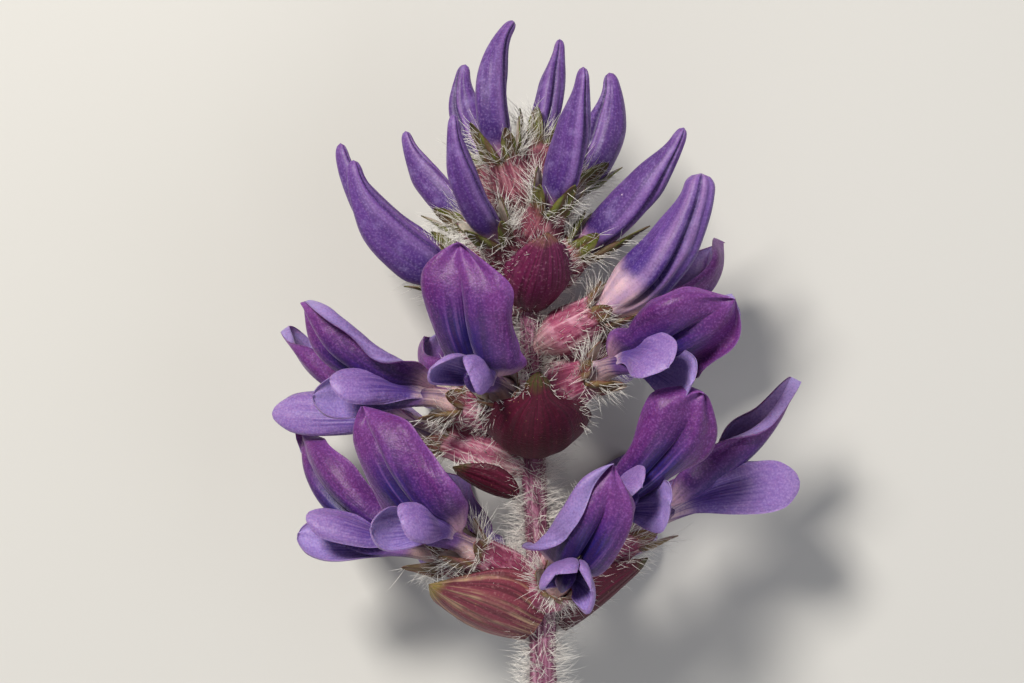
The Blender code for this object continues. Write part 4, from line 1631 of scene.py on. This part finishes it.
@dataclass(frozen=True)
class Coats:
    """All the hair of the spike: on the stem, the calyxes and the bracts."""

    stem: Stem
    whorls: tuple[CalyxWhorl, ...]
    bracts: tuple[Bract, ...]
    stem_hairs: int = 5200
    stem_length: float = 2.1
    tube_length: float = 1.2
    tooth_length: float = 2.0
    bract_length: float = 1.2

    def build(self, skin: bpy.types.Material) -> None:
        """Build every coat of hair.

        Args:
            skin: The hairs' material.
        """
        self.on_stem().build(skin)
        for number, whorl in enumerate(self.whorls):
            self.on_calyxes(whorl, number).build(skin)
        self.on_bracts().build(skin)

    def on_stem(self) -> HairCoat:
        """Grow the long, spreading hairs of the stem.

        Returns:
            The coat.
        """
        coat = HairCoat("hair_stem", 11)
        draw = np.random.default_rng(12)
        u = draw.uniform(0.003, 0.97, self.stem_hairs)
        v = draw.uniform(-1.0, 1.0, self.stem_hairs)
        coat.grow(self.stem, u, v, 0.1 * UP, self.stem_length, 0.3, self.outward(self.stem))
        return coat

    def on_calyxes(self, whorl: CalyxWhorl, number: int) -> HairCoat:
        """Grow the hairs of one whorl's calyxes, longest on the teeth.

        Args:
            whorl: The whorl.
            number: Its place among the whorls, from 0.

        Returns:
            The coat.
        """
        coat = HairCoat("hair_" + whorl.name, 100 + 20 * number)
        tube, teeth = whorl.hairs
        for calyx, owner in whorl.calyxes():
            draw = np.random.default_rng(owner.seed())
            out = self.outward(calyx)
            axis = calyx.axes.axis
            coat.grow(calyx, draw.uniform(0.05, 0.6, tube), draw.uniform(-1.0, 1.0, tube), axis,
                      self.tube_length, 0.3, out)
            coat.grow(calyx, draw.uniform(0.6, 0.99, teeth), draw.uniform(-1.0, 1.0, teeth), 0.9 * axis,
                      self.tooth_length, 0.34, out)
        return coat

    def on_bracts(self) -> HairCoat:
        """Grow short hairs on the bracts, near their margins.

        Returns:
            The coat.
        """
        coat = HairCoat("hair_bracts", 400)
        for bract in self.bracts:
            draw = np.random.default_rng(bract.seed())
            u = draw.uniform(0.02, 0.98, bract.hairs)
            side = np.sign(draw.uniform(-1.0, 1.0, bract.hairs))
            v = side * (1.0 - draw.uniform(0.0, 1.0, bract.hairs) ** 2.2 * 0.3)
            coat.grow(BractBlade(bract), u, v, 0.8 * bract.axes().axis, self.bract_length, 0.45,
                      draw.choice((-1.0, 1.0)))
        return coat

    @staticmethod
    def outward(surface: Surface) -> float:
        """Find out which way a tube's normals point.

        Args:
            surface: The tube.

        Returns:
            1 where they point out, and -1 where they point in.
        """
        u, v = np.full(8, 0.3), np.linspace(-0.9, 0.9, 8)
        points = surface.points(u, v)
        centre = surface.points(u, v - 1.0)
        return 1.0 if ((points - centre) * surface.normals(u, v)).sum() > 0.0 else -1.0


# The spike's own pieces

LOWER = (
    Flower("lower_1", -13.5, -54, 30, roll=18, calyx=7.4, banner=15.2, width=9.2, bend=50, fold=15,
           wing=9.2, drop=24, rolls=(40, 110), late=0.92, point=0.8),
    Flower("lower_2", -12.6, -92, 16, roll=38, calyx=7.6, banner=17.8, bend=60, fold=34, drop=-2,
           rolls=(70, 90), late=0.94, point=1.0),
    Flower("lower_3", -13.5, 12, 15, roll=-26, banner=14.2, width=8.2, bend=68, fold=26, wing=9.0,
           drop=16, rolls=(60, -215), roll_over=(0.56, 0.8), late=0.84, point=0.75, paddle=2.3,
           cupped=1.6, lean=0.5),
    Flower("lower_4", -12.0, 50, 38, roll=-35, banner=15.5, bend=12, fold=30, wing=8.8, drop=40,
           rolls=(90, 60), late=1.14, point=0.52, cupped=0.2),
    Flower("lower_5", -13.5, 98, 33, calyx=8.5, banner=18.6, width=6.4, bend=14, fold=76, wing=14.0,
           drop=28, rolls=(60, -90), late=0.96, point=0.8, cupped=0.3),
    Flower("lower_6", -14.0, -148, 18, banner=14.5, bend=30, fold=30, wing=11.5),
    Flower("lower_7", -14.0, 150, 22, banner=14.5, bend=30, fold=30, wing=11.5),
)
MIDDLE = (
    Flower("middle_1", 0.5, -24, 22, roll=-8, calyx=6.3, width=9.4, bend=64, fold=12, wing=9.0, drop=16,
           rolls=(50, 90), late=0.86, paddle=1.8, cupped=1.4, lean=0.5),
    Flower("middle_2", 0.8, -72, 11, roll=26, calyx=6.2, banner=15.2, width=7.8, bend=44, fold=36,
           wing=11.4, drop=2, rolls=(-170, 90), point=0.75),
    Flower("middle_3", -3.6, -104, 20, calyx=7.2, banner=17.0, bend=19, fold=32, wing=15.0, drop=20),
    Flower("middle_4", 1.0, -150, 12, banner=12.5, bend=20, fold=30, wing=10.5),
    Flower("middle_6", 3.0, 112, 25, calyx=6.5, banner=14.7, bend=26, fold=38),
    Flower("middle_7", 1.8, 52, 21, roll=-30, calyx=6.3, banner=13.8, width=8.8, bend=10, fold=32,
           wing=10.0, drop=52, rolls=(-150, 100), point=0.75, cupped=0.2),
    Flower("middle_8", 0.8, 152, 22, banner=13.0, bend=30, fold=30, wing=10.5),
)
OPENING = Bud("middle_5", 6.0, 69, 29, calyx=6.3, horn=14.4, bend=54, girth=2.35, seam=-36, taper=0.3)
BUDS = (
    Bud("upper_1", 11.0, -100, 19, calyx=6.0, horn=14.6, bend=62, girth=1.6, seam=108),
    Bud("upper_2", 9.5, -68, 20, calyx=6.6, horn=13.3, bend=63, girth=2.0, seam=140),
    Bud("upper_3", 12.5, -110, 38, calyx=6.0, horn=9.8, bend=38, girth=1.35, seam=108),
    Bud("upper_4", 12.2, -33, 32, calyx=5.4, horn=11.5, bend=60, girth=1.4, seam=178),
    Bud("upper_5", 16.6, -122, 52, calyx=5.2, horn=9.2, bend=54, girth=1.5, seam=190),
    Bud("upper_6", 16.8, -48, 64, horn=11.8, bend=74, seam=165),
    Bud("upper_7", 17.5, 122, 75, horn=9.0, bend=10, girth=1.2, seam=15),
    Bud("upper_8", 13.0, 28, 50, calyx=5.5, horn=12.2, bend=34, girth=1.75, seam=-105),
    Bud("upper_9", 15.5, 108, 46, calyx=5.5, horn=10.0, bend=60, girth=1.75, seam=55),
    Bud("upper_10", 11.0, 66, 36, calyx=5.2, horn=13.1, bend=28, girth=1.65, tooth=6.0, seam=-60),
    Bud("upper_11", 10.5, 178, 11, horn=12.2, bend=35),
    Bud("upper_12", 9.5, -142, 4, horn=11.0, bend=30),
)
BRACTS = (
    Bract("lower_left", -16.5, -65, 16, length=9.4, width=10.6, bend=28, cup=62, seat=-36, roll=28,
          look=BractLook.STRIPED, clasp=0.75),
    Bract("lower_right", -16.2, 86, 38, length=8.8, width=6.0, bend=6, cup=56, seat=90, roll=-26),
    Bract("middle_front", -2.4, 2, 3, length=12.2, width=10.6, bend=78, cup=62, seat=0, cusp=0.5,
          clasp=0.5),
    Bract("middle_left", -5.6, -80, 18, length=5.6, width=4.2, bend=20, cup=60, seat=-60, roll=30),
    Bract("upper_front", 9.2, 12, 20, length=8.6, width=7.4, bend=62, cup=72, seat=5,
          look=BractLook.ROSE, clasp=0.6),
    Bract("lower_back", -16.8, -170, 5, length=7.0, width=6.0, bend=30, cup=60, seat=-170),
)
WHORLS = (
    CalyxWhorl("calyxes_lower", LOWER),
    CalyxWhorl("calyxes_middle", MIDDLE + (OPENING,)),
    CalyxWhorl("calyxes_upper", BUDS, 2.8, (240, 230)),
)


# Studio


@dataclass(frozen=True)
class Lamp:
    """A soft square lamp. Its place and size are in metres, and its power in watts."""

    name: str
    place: tuple[float, float, float]
    size: float
    power: float
    tone: str = "ffffff"

    def build(self, aim: Vector) -> None:
        """Hang the lamp.

        Args:
            aim: The point that it shines at, in metres.
        """
        light = bpy.data.lights.new(self.name, "AREA")
        light.energy = self.power
        light.size = self.size
        light.color = linear(self.tone)[:3]
        made = bpy.data.objects.new(self.name, light)
        made.location = self.place
        made.rotation_euler = (aim - Vector(self.place)).to_track_quat("-Z", "Y").to_euler()
        bpy.context.scene.collection.objects.link(made)


@dataclass(frozen=True)
class Studio:
    """A plain pale floor, soft lamps, and a camera that looks straight down on the spike."""

    aim: tuple[float, float] = (-1.92, 6.76)  # where the camera hangs along X and Y
    height: float = 242.0  # of the camera over the floor
    lens: float = 100.0
    sensor: float = 36.0
    floor_reach: float = 1.5  # metres from its middle to each side
    room_tone: str = "eef0f4"
    room_light: float = 0.2
    lamp_aim: tuple[float, float, float] = (0.0, 0.0, 0.012)  # metres, the middle of the spike
    lamps: tuple[Lamp, ...] = (
        Lamp("lamp_key", (-0.14, 0.2, 0.34), 0.09, 2.0, "fffaf2"),
        Lamp("lamp_fill", (0.3, -0.05, 0.26), 0.3, 0.42, "f2f5ff"),
        Lamp("lamp_foot", (0.0, -0.34, 0.2), 0.25, 0.3),
    )

    def build(self) -> None:
        """Set up the floor, the lamps, the soft light all round, and the camera."""
        self.floor()
        for lamp in self.lamps:
            lamp.build(Vector(self.lamp_aim))
        world = bpy.data.worlds.new("soft_room")
        world.use_nodes = True
        room = world.node_tree.nodes["Background"]
        room.inputs["Color"].default_value = linear(self.room_tone)
        room.inputs["Strength"].default_value = self.room_light
        bpy.context.scene.world = world
        bpy.context.scene.view_settings.view_transform = "Standard"
        self.camera()

    def floor(self) -> None:
        """Lay the floor, a wide pale sheet at the height that the spike lies on."""
        reach = self.floor_reach
        mesh = bpy.data.meshes.new("floor")
        mesh.from_pydata([(-reach, -reach, 0.0), (reach, -reach, 0.0), (reach, reach, 0.0),
                          (-reach, reach, 0.0)], [], [(0, 1, 2, 3)])
        mesh.materials.append(PAPER_SKIN.make())
        made = bpy.data.objects.new("floor", mesh)
        bpy.context.scene.collection.objects.link(made)

    def camera(self) -> None:
        """Hang the camera over the spike, and look through it."""
        camera = bpy.data.cameras.new("camera")
        camera.lens = self.lens
        camera.sensor_width = self.sensor
        camera.clip_start = 0.01
        made = bpy.data.objects.new("camera", camera)
        made.location = (self.aim[0] * MM, self.aim[1] * MM, self.height * MM)
        bpy.context.scene.collection.objects.link(made)
        bpy.context.scene.camera = made


def main() -> None:
    """Load the frame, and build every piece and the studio."""
    logging.basicConfig(level=logging.INFO, format="%(name)s: %(message)s")
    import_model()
    petals = [FLOWER_SKINS[part].make() for part in FlowerPart]
    for flower in LOWER + MIDDLE:
        flower.build(petals)
    bud_skin = BUD_SKIN.make()
    for bud in BUDS:
        bud.build(bud_skin)
    OPENING.build(OPENING_SKIN.make())
    calyx_skin, lining = CALYX_SKIN.make(), CALYX_LINING.make()
    for whorl, skin in zip(WHORLS, (calyx_skin, calyx_skin, CROWN_CALYX_SKIN.make())):
        whorl.build([skin, lining])
    bract_skins = {look: look.value.make() for look in BractLook}
    for bract in BRACTS:
        bract.build(bract_skins)
    stem = Stem()
    stem.build([STEM_SKIN.make(), PITH_SKIN.make()])
    Coats(stem, WHORLS, BRACTS).build(HAIR_SKIN.make())
    Studio().build()


if __name__ == "__main__":
    main()
